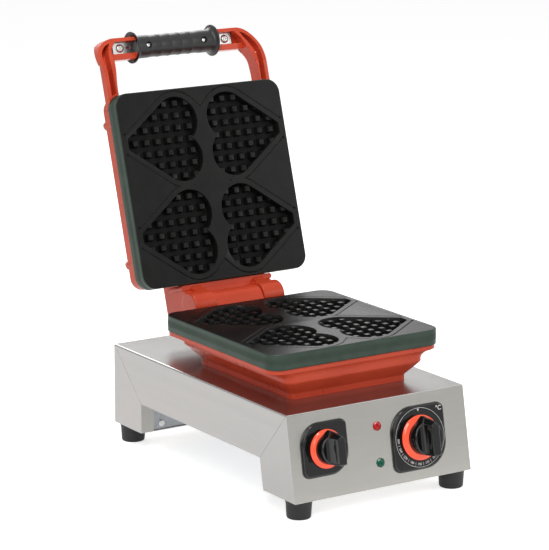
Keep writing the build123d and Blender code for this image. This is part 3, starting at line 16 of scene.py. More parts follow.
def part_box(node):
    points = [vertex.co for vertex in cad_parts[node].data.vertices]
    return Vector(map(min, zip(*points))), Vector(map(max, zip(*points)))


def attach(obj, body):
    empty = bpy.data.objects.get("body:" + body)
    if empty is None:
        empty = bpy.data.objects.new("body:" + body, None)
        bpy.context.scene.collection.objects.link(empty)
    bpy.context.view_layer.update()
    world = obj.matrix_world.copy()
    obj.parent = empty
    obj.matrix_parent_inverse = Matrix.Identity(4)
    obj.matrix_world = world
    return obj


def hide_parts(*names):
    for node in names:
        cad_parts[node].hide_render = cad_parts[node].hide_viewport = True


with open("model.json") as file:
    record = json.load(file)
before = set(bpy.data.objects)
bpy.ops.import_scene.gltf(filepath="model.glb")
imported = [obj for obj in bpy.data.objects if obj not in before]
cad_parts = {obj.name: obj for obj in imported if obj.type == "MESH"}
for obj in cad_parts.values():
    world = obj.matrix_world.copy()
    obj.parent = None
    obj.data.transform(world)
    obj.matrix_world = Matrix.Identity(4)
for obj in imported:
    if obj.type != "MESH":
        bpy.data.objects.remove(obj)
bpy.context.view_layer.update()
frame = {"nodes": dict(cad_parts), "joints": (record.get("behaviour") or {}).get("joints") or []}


# The studio: a wide pale floor, a soft sky and four large soft lamps, photographed from the front left
# with a long lens. The floor and the sky show as white to the camera and in reflections, and the
# floor keeps the shadow under the feet.
class Wire:
    """A socket of a material's node tree; sums on it add Math nodes."""

    def __init__(self, finish, socket):
        self.finish, self.socket = finish, socket

    def __add__(self, other):
        return self.finish.maths("ADD", self, other)

    def __sub__(self, other):
        return self.finish.maths("SUBTRACT", self, other)

    def __rsub__(self, other):
        return self.finish.maths("SUBTRACT", other, self)

    def __mul__(self, other):
        return self.finish.maths("MULTIPLY", self, other)

    def __pow__(self, other):
        return self.finish.maths("POWER", self, other)

    def __abs__(self):
        return self.finish.maths("ABSOLUTE", self)

    __radd__, __rmul__ = __add__, __mul__

    def between(self, low, high, start=0.0, end=1.0):
        """The value eased from start to end while it goes from low to high."""
        return self.finish.node("MapRange", {"interpolation_type": "SMOOTHSTEP"},
                                {0: self, 1: low, 2: high, 3: start, 4: end})


class Finish:
    """A material and the few calls that build its nodes."""

    def __init__(self, name):
        self.material = bpy.data.materials.new(name)
        self.material.use_nodes = True
        self.tree = self.material.node_tree
        self.tree.nodes.clear()
        self.coordinates = None

    def node(self, kind, settings=None, values=None, out=0):
        """Adds a node, sets it up, fills or links its sockets, and gives one of its outputs."""
        made = self.tree.nodes.new("ShaderNode" + kind)
        for key, value in (settings or {}).items():
            setattr(made, key, value)
        for key, value in (values or {}).items():
            if isinstance(value, Wire):
                self.tree.links.new(value.socket, made.inputs[key])
            elif isinstance(value, tuple) and len(value) == 3 and made.inputs[key].type == "RGBA":
                made.inputs[key].default_value = (*value, 1.0)
            else:
                made.inputs[key].default_value = value
        return Wire(self, made.outputs[out]) if made.outputs else None

    def maths(self, operation, *values):
        """A Math node on wires or numbers."""
        return self.node("Math", {"operation": operation}, dict(enumerate(values)))

    def place(self, scale=(1.0, 1.0, 1.0)):
        """The point on the piece in its own coordinates, stretched."""
        if self.coordinates is None:
            self.coordinates = self.node("TexCoord", {}, {}, "Object")
        return self.node("Mapping", {}, {"Vector": self.coordinates, "Scale": scale})

    def noise(self, scale, detail=4.0, rough=0.55, vector=None):
        """Cloudy noise, from 0 to 1, with so many cells to a metre."""
        return self.node("TexNoise", {}, {
            "Vector": vector or self.place(), "Scale": scale, "Detail": detail, "Roughness": rough})

    def blend(self, share, first, second):
        """The second colour over the first by share."""
        return self.node("Mix", {"data_type": "RGBA"}, {0: share, 6: first, 7: second}, 2)

    def bump(self, height, strength, distance, normal=None):
        """A bump from a height, for the Normal socket."""
        values = {"Height": height, "Strength": strength, "Distance": distance}
        if normal is not None:
            values["Normal"] = normal
        return self.node("Bump", {}, values)

    def soft_edges(self, radius):
        """A normal that rounds the sharp edges of machined and cast solids."""
        return self.node("Bevel", {"samples": 6}, {"Radius": radius})

    def shade(self, **values):
        """Ends the tree in a Principled shader with these sockets."""
        sockets = {key.replace("_", " "): value for key, value in values.items()}
        shader = self.node("BsdfPrincipled", {}, sockets)
        self.node("OutputMaterial", {}, {"Surface": shader})
        return self


def lamp(name, place, target, size, watts, colour):
    """A rectangular soft lamp that faces a target."""
    light = bpy.data.lights.new(name, "AREA")
    light.shape, light.size, light.size_y = "RECTANGLE", *size
    light.energy, light.color = watts, colour
    holder = bpy.data.objects.new(name, light)
    holder.location = place
    holder.rotation_euler = (Vector(target) - Vector(place)).to_track_quat("-Z", "Y").to_euler()
    bpy.context.scene.collection.objects.link(holder)


lamp("key", (-1.3, -1.4, 1.8), (0, 0, 0.15), (0.45, 2.0), 26, (1.0, 0.985, 0.96))
lamp("fill", (1.9, -1.5, 1.1), (0, 0, 0.15), (1.2, 1.2), 10, (1.0, 1.0, 1.0))
lamp("rear", (0.7, 1.9, 1.4), (0, 0, 0.25), (1.6, 0.8), 20, (1.0, 1.0, 1.0))
lamp("top", (-0.35, -0.2, 2.3), (0, 0, 0.0), (0.5, 0.5), 11, (1.0, 1.0, 1.0))

shown_white_to = ("Is Camera Ray", "Is Glossy Ray", "Is Transmission Ray")
sky_light, white = 0.45, 1.0
world = bpy.data.worlds.new("sky")
world.use_nodes = True
bpy.context.scene.world = world
sky = world.node_tree
sky.nodes.clear()
path = sky.nodes.new("ShaderNodeLightPath")
seen = path.outputs[shown_white_to[0]]
for kind in shown_white_to[1:]:
    either = sky.nodes.new("ShaderNodeMath")
    either.operation = "MAXIMUM"
    sky.links.new(seen, either.inputs[0])
    sky.links.new(path.outputs[kind], either.inputs[1])
    seen = either.outputs[0]
strength = sky.nodes.new("ShaderNodeMapRange")
strength.inputs["To Min"].default_value, strength.inputs["To Max"].default_value = sky_light, white
sky.links.new(seen, strength.inputs[0])
back = sky.nodes.new("ShaderNodeBackground")
sky.links.new(strength.outputs[0], back.inputs["Strength"])
sky.links.new(back.outputs[0], sky.nodes.new("ShaderNodeOutputWorld").inputs[0])

paper = Finish("paper")
floor_glow = 0.62
matte = paper.node("BsdfDiffuse", {}, {"Color": (0.9, 0.9, 0.9)})
glow = paper.node("Emission", {}, {"Color": (1.0, 1.0, 1.0), "Strength": floor_glow})
both = paper.node("AddShader", {}, {0: matte, 1: glow})
shown, *others = [paper.node("LightPath", {}, {}, kind) for kind in shown_white_to]
for ray in others:
    shown = paper.maths("MAXIMUM", shown, ray)
paper.node("OutputMaterial", {}, {"Surface": paper.node("MixShader", {}, {0: shown, 1: matte, 2: both})})
floor_reach = 30
floor_mesh = bpy.data.meshes.new("floor")
floor_corners = [(floor_reach * x, floor_reach * y, 0) for x, y in ((-1, -1), (1, -1), (1, 1), (-1, 1))]
floor_mesh.from_pydata(floor_corners, [], [(0, 1, 2, 3)])
floor_mesh.materials.append(paper.material)
floor = bpy.data.objects.new("floor", floor_mesh)
bpy.context.scene.collection.objects.link(floor)

# The camera, fitted to the photograph: where it stands, its heading, pitch and roll, and its focal
# length in pixels of the photograph.
millimetre = 0.001
front_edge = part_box("top_panel")[0].y
view_from = Vector((-1645.06, -2291.87, 906.13)) * millimetre + Vector((0, front_edge, 0))
heading, pitch, roll = math.radians(33.47), math.radians(13.14), math.radians(0.11)
focal_pixels, frame_pixels, sensor = 2752.95, 550.0, 36.0
camera = bpy.data.objects.new("camera", bpy.data.cameras.new("camera"))
camera.location = view_from
look = Vector((math.sin(heading) * math.cos(pitch), math.cos(heading) * math.cos(pitch),
               -math.sin(pitch)))
camera.rotation_mode = "QUATERNION"
camera.rotation_quaternion = look.to_track_quat("-Z", "Y") @ Matrix.Rotation(roll, 4, "Z").to_quaternion()
camera.data.sensor_fit = "AUTO"
camera.data.sensor_width = sensor
camera.data.lens = focal_pixels * sensor / frame_pixels
camera.data.clip_start, camera.data.clip_end = 0.05, 100.0
bpy.context.scene.collection.objects.link(camera)
bpy.context.scene.camera = camera
bpy.context.scene.view_settings.view_transform = "Standard"


# Body sheet: three folded stainless panels, mitred at the corners, the top brushed lengthways and the
# front and rear across. The brushing shows as fine streaks that stretch and tilt the reflections.
# The top, the front and the faces turned to the sides each get a tint of their own, darkest on the sides,
# set to how light falls on them: painted light and shade.
def brushed(name, along, tint, side_shade_tint):
    """Stainless steel with streaks along one axis: noise with far fewer cells to a metre that way."""
    finish = Finish(name)
    fine, broad = [2600.0] * 3, [160.0] * 3
    fine[along], broad[along] = 14.0, 1.0
    streaks = finish.noise(1.0, 3.0, 0.6, finish.place(tuple(fine)))
    bands = finish.noise(1.0, 2.0, 0.5, finish.place(tuple(broad)))
    wear = finish.noise(14.0, 3.0, 0.6)
    facing = finish.node("TexCoord", {}, {}, "Normal")
    sideways = finish.node("VectorMath", {"operation": "DOT_PRODUCT"},
                           {0: facing, 1: (1.0, 0.0, 0.0)}, "Value")
    # Faces turned to the sides take the darker side tint: painted shade.
    facing_shade = finish.blend(abs(sideways).between(0.5, 0.9), tint, side_shade_tint)
    banded = finish.node("Mix", {"data_type": "RGBA", "blend_type": "MULTIPLY"},
                         {0: bands.between(0.3, 0.7, 0.0, 0.3), 6: facing_shade, 7: (0.9, 0.9, 0.9)}, 2)
    return finish.shade(
        Base_Color=banded, Metallic=0.95,
        Roughness=streaks.between(0.25, 0.75, 0.15, 0.23) + wear.between(0.4, 0.7, 0.0, 0.03),
        Normal=finish.bump(streaks, 0.02, 0.0001, finish.soft_edges(0.0006)))


def wear_finish(finish, *names):
    """Gives CAD nodes a finish."""
    for name in names:
        node = frame["nodes"][name]
        node.data.materials.clear()
        node.data.materials.append(finish.material)


# Tints of the top, the front and the sides, set apart for how light falls on each: painted light and shade.
top_steel_lit, side_steel_shade, front_steel_lit = (0.40, 0.392, 0.38), (0.365, 0.357, 0.35), (0.445, 0.433, 0.404)
wear_finish(brushed("steel_lengthways", 1, top_steel_lit, side_steel_shade), "top_panel")
wear_finish(brushed("steel_across", 0, front_steel_lit, side_steel_shade), "front_panel", "rear_panel")


# Bottom tray: plain galvanised sheet with its grey crystal pattern, which closes the arch under the
# body. Small plated screws hold it, of the same finish as all the other fasteners.
def spangled():
    """Zinc crystals: cells of slightly different grey and roughness."""
    finish = Finish("galvanised")
    cells = finish.node("TexVoronoi", {}, {"Vector": finish.place(), "Scale": 140.0}, "Color")
    grey = finish.node("SeparateColor", {}, {0: cells}, 0)
    return finish.shade(Base_Color=finish.blend(grey, (0.36, 0.38, 0.40), (0.48, 0.5, 0.52)),
                        Metallic=0.85, Roughness=grey.between(0.0, 1.0, 0.34, 0.5))


def darker(colour, share):
    """The colour brought down to a share of itself."""
    return tuple(share * part for part in colour)


def plated(name, tint, roughness):
    """Bright zinc or nickel plating with faint turning marks."""
    finish = Finish(name)
    marks = finish.noise(1600.0, 2.0)
    return finish.shade(Base_Color=finish.blend(marks.between(0.35, 0.65), darker(tint, 0.85), tint),
                        Metallic=1.0, Roughness=marks.between(0.3, 0.7, roughness, roughness + 0.12),
                        Normal=finish.bump(marks, 0.06, 0.0002, finish.soft_edges(0.0003)))


wear_finish(spangled(), "bottom_tray")
bright_zinc = plated("bright_zinc", (0.74, 0.74, 0.72), 0.16)
wear_finish(bright_zinc, "foot_screws", "foot_nuts", "casting_bolts", "plate_screws", "control_screws",
            "lid_bolts", "lid_cover_screws", "earth_stud", "thermostat_shaft", "switch_shaft",
            "temperature_probe", "tray_screws")


# Inside the body and the castings: steel heater tubes, pads of mineral wool, and moulded controls and
# terminals, which only show when the maker is taken apart.
def plain(name, colour, roughness, metallic=0.0, grain=900.0, shine=0.5):
    """A moulded or drawn finish with fine grain in its colour and surface."""
    finish = Finish(name)
    speck = finish.noise(grain, 3.0)
    return finish.shade(Base_Color=finish.blend(speck.between(0.3, 0.7), darker(colour, 0.9), colour),
                        Metallic=metallic, Roughness=speck.between(0.3, 0.7, roughness, roughness + 0.08),
                        Specular_IOR_Level=shine,
                        Normal=finish.bump(speck, 0.08, 0.0002, finish.soft_edges(0.0004)))


wear_finish(plain("oxidised_tube", (0.32, 0.29, 0.26), 0.42, 0.9), "lower_heater", "upper_heater")
wear_finish(plain("mineral_wool", (0.52, 0.47, 0.33), 0.95, grain=2400.0), "lower_insulation",
            "upper_insulation")
wear_finish(plain("white_polyamide", (0.72, 0.71, 0.67), 0.5), "thermostat", "rotary_switch",
            "terminal_block")
wear_finish(plain("black_polyamide", (0.022, 0.022, 0.024), 0.5), "cable_gland", "gland_nut", "lamp_nuts")


# Feet: four tapered rubber feet, moulded with a lip under the sheet, a rounded tread and a hollow
# for the screw that holds each one.
def skin(rings, ends=True):
    """The points and faces of a closed tube: each ring joined to the next, and a flat face over each end."""
    count, around = rings.shape[:2]
    index = np.arange(count * around).reshape(count, around)
    low, high = index[:-1], index[1:]
    faces = np.stack([low, np.roll(low, -1, 1), np.roll(high, -1, 1), high], -1).reshape(-1, 4).tolist()
    if ends:
        faces += [index[0][::-1].tolist(), index[-1].tolist()]
    return rings.reshape(-1, 3), faces


def make_piece(name, shells, finish, body, slot, *stands_for, sharp=32.0):
    """Joins shells of points and faces in one object, its seams and poles merged, and attaches it to its body,
    hiding the CAD nodes it stands for.
    """
    points, faces, start = [], [], 0
    for corners, loops in shells:
        points.append(corners)
        faces += [[start + corner for corner in loop] for loop in loops]
        start += len(corners)
    mesh = bpy.data.meshes.new(name)
    mesh.from_pydata(np.concatenate(points).tolist(), [], faces)
    edit = bmesh.new()
    edit.from_mesh(mesh)
    bmesh.ops.remove_doubles(edit, verts=edit.verts, dist=2e-6)
    bmesh.ops.dissolve_degenerate(edit, edges=edit.edges, dist=1e-6)
    bmesh.ops.recalc_face_normals(edit, faces=edit.faces)
    edit.to_mesh(mesh)
    edit.free()
    mesh.polygons.foreach_set("use_smooth", [True] * len(mesh.polygons))
    mesh.set_sharp_from_angle(angle=math.radians(sharp))
    mesh.materials.append(finish.material)
    made = bpy.data.objects.new(name, mesh)
    bpy.context.scene.collection.objects.link(made)
    made.modifiers.new("even", "WEIGHTED_NORMAL").keep_sharp = True
    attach(made, body)
    if stands_for:
        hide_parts(*stands_for)


def eased(points, cut, steps=4):
    """A line with its inner corners rounded, each by a quadratic curve that starts and ends its cut away."""
    points = np.asarray(points, float)
    before, corner, after = points[:-2], points[1:-1], points[2:]
    back, on = before - corner, after - corner
    back_length, on_length = np.linalg.norm(back, axis=1), np.linalg.norm(on, axis=1)
    reach = np.minimum(cut, 0.45 * np.minimum(back_length, on_length))[:, None]
    start = (corner + back / back_length[:, None] * reach)[:, None]
    end = (corner + on / on_length[:, None] * reach)[:, None]
    share = np.linspace(0, 1, steps + 1)[None, :, None]
    curve = (1 - share) ** 2 * start + 2 * share * (1 - share) * corner[:, None] + share ** 2 * end
    return np.concatenate([points[:1], curve.reshape(-1, points.shape[1]), points[-1:]])


def lathe(profile, around=72):
    """A profile of (along, out) from an axis, turned about it: rings of (across, up, along)."""
    profile = np.asarray(profile, float)
    angle = np.linspace(0, 2 * np.pi, around, endpoint=False)
    along = np.broadcast_to(profile[:, :1], (len(profile), around))
    return np.stack([profile[:, 1:] * np.cos(angle), profile[:, 1:] * np.sin(angle), along], -1)


foot_profile = eased([(9, 0), (9, 6.5), (0, 6.5), (0, 12.4), (1.6, 13.2), (16.6, 14.1), (17.6, 14.6),
                      (20, 14.6), (20, 0)], [0.4, 0.8, 1.4, 1.6, 0.6, 0.4, 0.3])
rubber = plain("foot_rubber", (0.016, 0.016, 0.017), 0.55, shine=0.4)
for corner in ("front_left", "front_right", "rear_left", "rear_right"):
    low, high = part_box("foot_" + corner)
    middle = np.array([(low.x + high.x) / 2, (low.y + high.y) / 2, 0.0])
    make_piece("rubber_foot_" + corner, [skin(lathe(foot_profile) * millimetre + middle, ends=False)],
               rubber, "base", "foot_rubber", "foot_" + corner)


# Plates: two iron castings with four heart pockets each, seasoned to a dark satin face. Their outer
# sides are ground to a grey green, and every edge is broken.
def softened(name, node, radius, finish, body, segments=2, angle=30.0):
    """A copy of a CAD node, merged and with its flat facets joined, whose sharp edges are rounded."""
    edit = bmesh.new()
    edit.from_mesh(frame["nodes"][node].data)
    bmesh.ops.remove_doubles(edit, verts=edit.verts, dist=1e-6)
    bmesh.ops.dissolve_limit(edit, angle_limit=math.radians(0.4), verts=edit.verts, edges=edit.edges)
    mesh = bpy.data.meshes.new(name)
    edit.to_mesh(mesh)
    edit.free()
    mesh.polygons.foreach_set("use_smooth", [True] * len(mesh.polygons))
    mesh.set_sharp_from_angle(angle=math.radians(angle))
    mesh.materials.clear()
    mesh.materials.append(finish.material)
    made = bpy.data.objects.new(name, mesh)
    bpy.context.scene.collection.objects.link(made)
    edge = made.modifiers.new("edge", "BEVEL")
    edge.width, edge.segments, edge.limit_method = radius, segments, "ANGLE"
    edge.angle_limit, edge.use_clamp_overlap, edge.harden_normals = math.radians(angle), False, True
    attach(made, body)
    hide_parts(node)


def seasoned_iron(name, turn, middle, half_width, half_depth, corner):
    """Cast iron: dark on its faces, duller in its pockets with painted shade that darkens them, grey green at
    its ground sides.

    A point belongs to the sides when it lies within a millimetre of the plate's outline, a rectangle with
    round corners: the length of what lies past the corner's centre comes near the corner's radius. It
    belongs to a pocket's floor when it is near the plate's middle height."""
    finish = Finish(name)
    turned = finish.node("Mapping", {"vector_type": "TEXTURE"}, {
        "Vector": finish.node("TexCoord", {}, {}, "Object"), "Location": tuple(middle),
        "Rotation": (turn, 0.0, 0.0)})
    across, along, height = [finish.node("SeparateXYZ", {}, {0: turned}, axis) for axis in range(3)]
    past_x = finish.maths("MAXIMUM", abs(across) - (half_width - corner), 0.0)
    past_y = finish.maths("MAXIMUM", abs(along) - (half_depth - corner), 0.0)
    reach = (past_x * past_x + past_y * past_y) ** 0.5
    side = reach.between(corner - 0.0011, corner - 0.0007)
    face = abs(height).between(0.0010, 0.0062)
    grit = finish.noise(1500.0, 4.0, 0.65)
    patches = finish.noise(38.0, 4.0, 0.6)
    seasoned = finish.blend(patches.between(0.35, 0.7), (0.0055, 0.0058, 0.0056), (0.0095, 0.0095, 0.009))
    ground = finish.blend(patches.between(0.3, 0.7), (0.040, 0.062, 0.048), (0.052, 0.076, 0.060))
    # The pocket floors get a darker colour than the faces: painted shade.
    dark = finish.blend(face, (0.0022, 0.0022, 0.0022), seasoned)
    return finish.shade(
        Base_Color=finish.blend(side, dark, ground), Metallic=side * 0.3, Specular_IOR_Level=0.15,
        Roughness=grit.between(0.3, 0.7, 0.26, 0.38) + face.between(0.0, 1.0, 0.3, 0.0),
        Normal=finish.bump(grit, 0.07, 0.0002, finish.soft_edges(0.0009)))


hinge = next(joint for joint in frame["joints"] if joint["name"] == "lid_hinge")
hinge_point = np.array(hinge["pos_m"])
lid_turn = math.radians(hinge["range_deg"][1])


def model(points):
    """Points in millimetres, with y from the top edge of the sloping front, in the model's frame."""
    return np.asarray(points, float) * millimetre + (0.0, front_edge, 0.0)


def on_lid(points):
    """Points of the shut lid in millimetres, turned back about the hinge to where the open lid has them."""
    offset = model(points) - hinge_point
    y, z = offset[..., 1], offset[..., 2]
    across, level = math.cos(lid_turn), math.sin(lid_turn)
    return np.stack([offset[..., 0], y * across + z * level, z * across - y * level], -1) + hinge_point


plate_size = dict(half_width=0.1105, half_depth=0.1115, corner=0.016)
plate_edge = 0.0004
lower_middle, upper_middle = model((0.0, 143.8, 160.0)), on_lid((0.0, 143.8, 177.0))
lower_iron = seasoned_iron("seasoned_iron", 0.0, lower_middle, **plate_size)
upper_iron = seasoned_iron("seasoned_iron_lid", -lid_turn, upper_middle, **plate_size)
softened("heart_plate_lower", "lower_plate", plate_edge, lower_iron, "base")
softened("heart_plate_upper", "upper_plate", plate_edge, upper_iron, "lid")


# Castings: one aluminium bed with its hinge bracket and one aluminium lid with its two arms, stove
# enamelled orange red, with rounded edges that catch the light. The lid's sheet cover and the hinge pin
# have the same enamel.
def enamel(name, edge=None):
    """Orange red enamel with faint orange peel and a slightly darker cloud here and there."""
    finish = Finish(name)
    peel = finish.noise(420.0, 2.0)
    cloud = finish.noise(22.0, 3.0)
    rounded = finish.soft_edges(edge) if edge else None
    return finish.shade(
        Base_Color=finish.blend(cloud.between(0.35, 0.7), (0.56, 0.056, 0.020), (0.63, 0.068, 0.026)),
        Roughness=cloud.between(0.3, 0.7, 0.26, 0.32), Coat_Weight=0.1, Coat_Roughness=0.08,
        Specular_IOR_Level=0.23, Normal=finish.bump(peel, 0.04, 0.0003, rounded))


def outline_ring(half, radii, out, steps=14):
    """A rectangle at a height, given by half its sides, whose corners are arcs of their own radii.

    The points run anticlockwise from the upper right corner."""
    quarter = np.linspace(0, np.pi / 2, steps + 1)
    signs = np.array([(1, 1), (-1, 1), (-1, -1), (1, -1)], float)
    radii = np.asarray(radii, float)[:, None, None]
    angle = quarter[None, :] + (np.arange(4) * np.pi / 2)[:, None]
    arc = np.stack([np.cos(angle), np.sin(angle)], -1) * radii
    points = (signs[:, None] * (half - radii) + arc).reshape(-1, 2)
    return np.column_stack([points, np.full(len(points), out)])


def tier(half_width, front, rear, corner, level):
    """A rounded rectangle of a casting, lying level between a front and a rear edge."""
    flat = outline_ring(np.array([half_width, (rear - front) / 2]), [corner] * 4, level)
    return flat + (0.0, (front + rear) / 2, 0.0)


def lying(profile, start, end, cut):
    """A side view of (y, z) drawn out from start to end across x, its end faces rounded off by cut."""
    profile = np.asarray(profile, float)
    inwards = profile.mean(0) - profile
    inwards /= np.linalg.norm(inwards, axis=1)[:, None]
    quarter = np.linspace(0, np.pi / 2, 5)
    insets, steps = cut * (1 - np.sin(quarter)), cut * (1 - np.cos(quarter))
    rings = [np.column_stack([np.full(len(profile), x), profile + inwards * inset])
             for x, inset in [*zip(start + steps, insets), *zip(end - steps[::-1], insets[::-1])]]
    return np.array(rings)


def round_side(points, cut):
    """A closed side view with all its corners eased."""
    points = np.asarray(points, float)
    closed = np.concatenate([(points[-1:] + points[:1]) / 2, points, (points[-1:] + points[:1]) / 2])
    return eased(closed, [cut] * len(points))[:-1]


hinge_y, hinge_z, barrel_room = 280.8, 164.0, 14.6
knuckle_radius, knuckle_end, knuckle_length = 16.4, 60.2, 28


def about_hinge(radius, start, end, count):
    """An arc of (y, z) from one angle to another in degrees: the hinge's place plus the radius along each."""
    angle = np.radians(np.linspace(start, end, count))
    return np.column_stack([hinge_y + radius * np.cos(angle), hinge_z + radius * np.sin(angle)])


# The lid's tiers from its rim up to its crown, each a half width, a front, a rear, a corner and a level.
# Those of the strip behind the plate are a half width, a half thickness and a level.
lid_rows = eased([(104, 38, 249.6, 10, 186.1), (108.8, 34, 253.6, 14.3, 186.1),
                  (108.8, 34, 253.6, 14.3, 201.1), (91.8, 44, 243.6, 14, 211.1),
                  (74.8, 56, 231.6, 12, 219.1), (60, 70, 217, 8, 219.1)], [0.4, 1.6, 2.5, 2.5])
shells = [skin(on_lid(np.array([tier(*row) for row in lid_rows])))]
strip_y = 258.95
strip_rows = eased([(59.0, 1.2, 171.7), (61, 3.1, 171.7), (61, 3.1, 203.0)], [0.8])
shells.append(skin(on_lid(np.array([tier(half, strip_y - thick, strip_y + thick, thick * 0.98, level)
                                    for half, thick, level in strip_rows]))))

# The tail that reaches back over the hinge, and the filler between the knuckles, hollowed round the
# barrel.
tail_half, filler_half = 57.4, 33.0
tail = round_side([(222.0, 205.2), (300.0, 205.2), (300.0, 211.4), (293.6, 217.5), (222.0, 217.5)], 1.2)
filler = np.concatenate([[(256.4, 171.8)], about_hinge(barrel_room, 147, 104, 12),
                         [(277.0, 192.0), (258.0, 200.0)]])
shells.append(skin(on_lid(lying(tail, -tail_half, tail_half, 1.2))))
shells.append(skin(on_lid(lying(filler, -filler_half, filler_half, 0.2))))

# On each side a knuckle with a web and a thicker body that carry it, and two lugs for the lid's bolts.
knuckle = lathe(eased([(0, 0), (0, knuckle_radius), (knuckle_length, knuckle_radius),
                       (knuckle_length, 0)], [3.0, 1.6], 6), 96)
nose_radius = knuckle_radius - 0.3
nose, nose_rear = about_hinge(nose_radius, 205, 60, 16), about_hinge(nose_radius, 50, 10, 6)
web = np.concatenate([[(256.5, 175.0)], nose, [(275.0, 200.0), (256.5, 200.0)]])
carrier = np.concatenate([[(250.0, 187.0), (257.5, 180.0)], nose[4:], nose_rear,
                          [(299.4, 206.0), (299.4, 211.0), (293.2, 216.9), (240.0, 216.9)]])
lug_x, lug_places = 104.0, (63.8, 223.8)
lug = lathe(eased([(185.0, 0), (185.0, 5.5), (204.6, 5.5), (204.6, 0)], [0.3, 0.8]), 40)
for side in (-1, 1):
    turned = np.stack([side * (knuckle_end - knuckle[..., 2]), hinge_y + knuckle[..., 0],
                       hinge_z + knuckle[..., 1]], -1)
    shells.append(skin(on_lid(turned), ends=False))
    for outline, inner, outer, cut in ((web, 34.5, 49.0, 1.6), (carrier, filler_half, 58.6, 1.0)):
        low, high = sorted((side * inner, side * outer))
        shells.append(skin(on_lid(lying(outline, low, high, cut))))
    for place in lug_places:
        shells.append(skin(on_lid(lug + (side * lug_x, place, 0.0)), ends=False))
orange = enamel("orange_enamel")
make_piece("lid_casting", shells, orange, "lid", "painted_casting", "upper_casting", sharp=38.0)
softened("bracket_casting", "hinge_bracket", millimetre, orange, "base", segments=3)

# The bed's tiers from its rim down its cove to the ledge, the slope under it and the skirt: half width,
# front, rear and corner, and then the level.
rim_shape, ledge_shape = np.array([109.5, 33.3, 254.3, 16.0]), np.array([90.0, 36.0, 250.0, 10.0])
skirt_shape = np.array([75.6, 48.0, 234.0, 8.0])
foot_shape = skirt_shape + (0.5, -0.5, 0.5, 0.4)
cove_top, cove_drop = 145.5, 8.5
bed_rows = [(108.9, 33.9, 253.7, 15.6, 150.8), (*rim_shape, 150.2), (*rim_shape, 146.1)]
for turn in np.radians(np.linspace(8, 82, 12)):
    bed_rows.append((*(rim_shape + (ledge_shape - rim_shape) * math.sin(turn)),
                     cove_top - cove_drop * (1 - math.cos(turn))))
bed_rows += eased([(*ledge_shape, 137.0), (*ledge_shape, 133.5), (*skirt_shape, 118.3),
                   (*skirt_shape, 112.9)], [1.6, 1.6], 5).tolist()
bed_rows.append((*foot_shape, 112.35))
make_piece("bed_casting", [skin(model(np.array([tier(*row) for row in bed_rows])))], orange, "base",
           "painted_casting", "lower_casting", sharp=38.0)
wear_finish(orange, "lid_cover", "hinge_pin")
wear_finish(enamel("orange_enamel_soft", 0.0011), "arm_left", "arm_right")


# Handle bar: a flat zinc plated bar joins the arms inside the grip, with a slot and a round-headed
# socket screw at each end.
bar_y, bar_face, bar_screw_x = -23.7, 207.2, 70.8
softened("plated_bar", "handle_bar", 0.0003, plated("bar_zinc", (0.62, 0.63, 0.62), 0.26), "lid")


def socket_head(radius, height, socket):
    """A domed screw head: a turned profile whose inmost rings are drawn in to the six flats of a socket."""
    rings = lathe(eased([(0, radius), (height * 0.3, radius), (height * 0.8, radius * 0.75),
                         (height, radius * 0.45), (height, socket), (height * 0.55, socket),
                         (height * 0.5, 0)], [height * 0.2, height * 0.4, height * 0.3, 0.15, 0.1]))
    angle = np.linspace(0, 2 * np.pi, rings.shape[1], endpoint=False)
    flats = math.cos(np.pi / 6) / np.cos(angle % (np.pi / 3) - np.pi / 6)
    inner = np.hypot(rings[..., 0], rings[..., 1]) < socket * 1.02
    rings[..., :2] *= np.where(inner, flats[None, :], 1.0)[..., None]
    return rings


def in_front(rings, x, y, z):
    """Rings of (across, up, out) set on the shut lid's underside, out towards the plate."""
    return on_lid(np.stack([x + rings[..., 0], y + rings[..., 1], z - rings[..., 2]], -1))


dull_zinc = plated("dull_zinc", (0.66, 0.66, 0.63), 0.30)
make_piece("bar_screws", [skin(in_front(socket_head(4.9, 2.6, 1.3), x, bar_y, bar_face))
                          for x in (-bar_screw_x, bar_screw_x)],
           dull_zinc, "lid", "fasteners", "handle_screws")


# Grip: a black moulded handle with shallow finger beads, a dished flange at each end, a parting line
# where its two shells meet, and two recessed screws.
grip_y, grip_z, grip_radius = bar_y, 209.2, 13.2
pitch, ridges, bead_depth, bead_reach = 13.8, 5, 0.6, 47
bead = np.linspace(-bead_reach, bead_reach, 236)
within = np.abs(bead) < pitch * ridges / 2
dip = np.where(within, bead_depth * np.abs(np.sin(np.pi * (bead + pitch / 2) / pitch)) ** 0.7, 0.0)
barrel = np.stack([bead, grip_radius - dip], -1)
flare = eased([(bead_reach, grip_radius), (49.5, 13.5), (52.0, 15.2), (53.2, 18.3), (54.9, 18.3),
               (53.0, 15.6), (48.2, 9.0), (48.2, 0)], [1.0, 1.6, 0.5, 0.5, 1.0, 0.6])
profile = np.concatenate([flare[::-1] * (-1, 1), barrel[1:-1], flare])
angle = np.linspace(0, 2 * np.pi, 180, endpoint=False)
along = np.broadcast_to(profile[:, :1], (len(profile), len(angle)))
seam_depth, seam_width = 0.3, 0.03
seam = seam_depth * np.exp(-((np.abs(np.sin(angle)) / seam_width) ** 2))
radius = profile[:, 1:] - seam[None, :] * (profile[:, 1:] > 12)
grip_rings = np.stack([along, radius * np.cos(angle), radius * np.sin(angle)], -1)

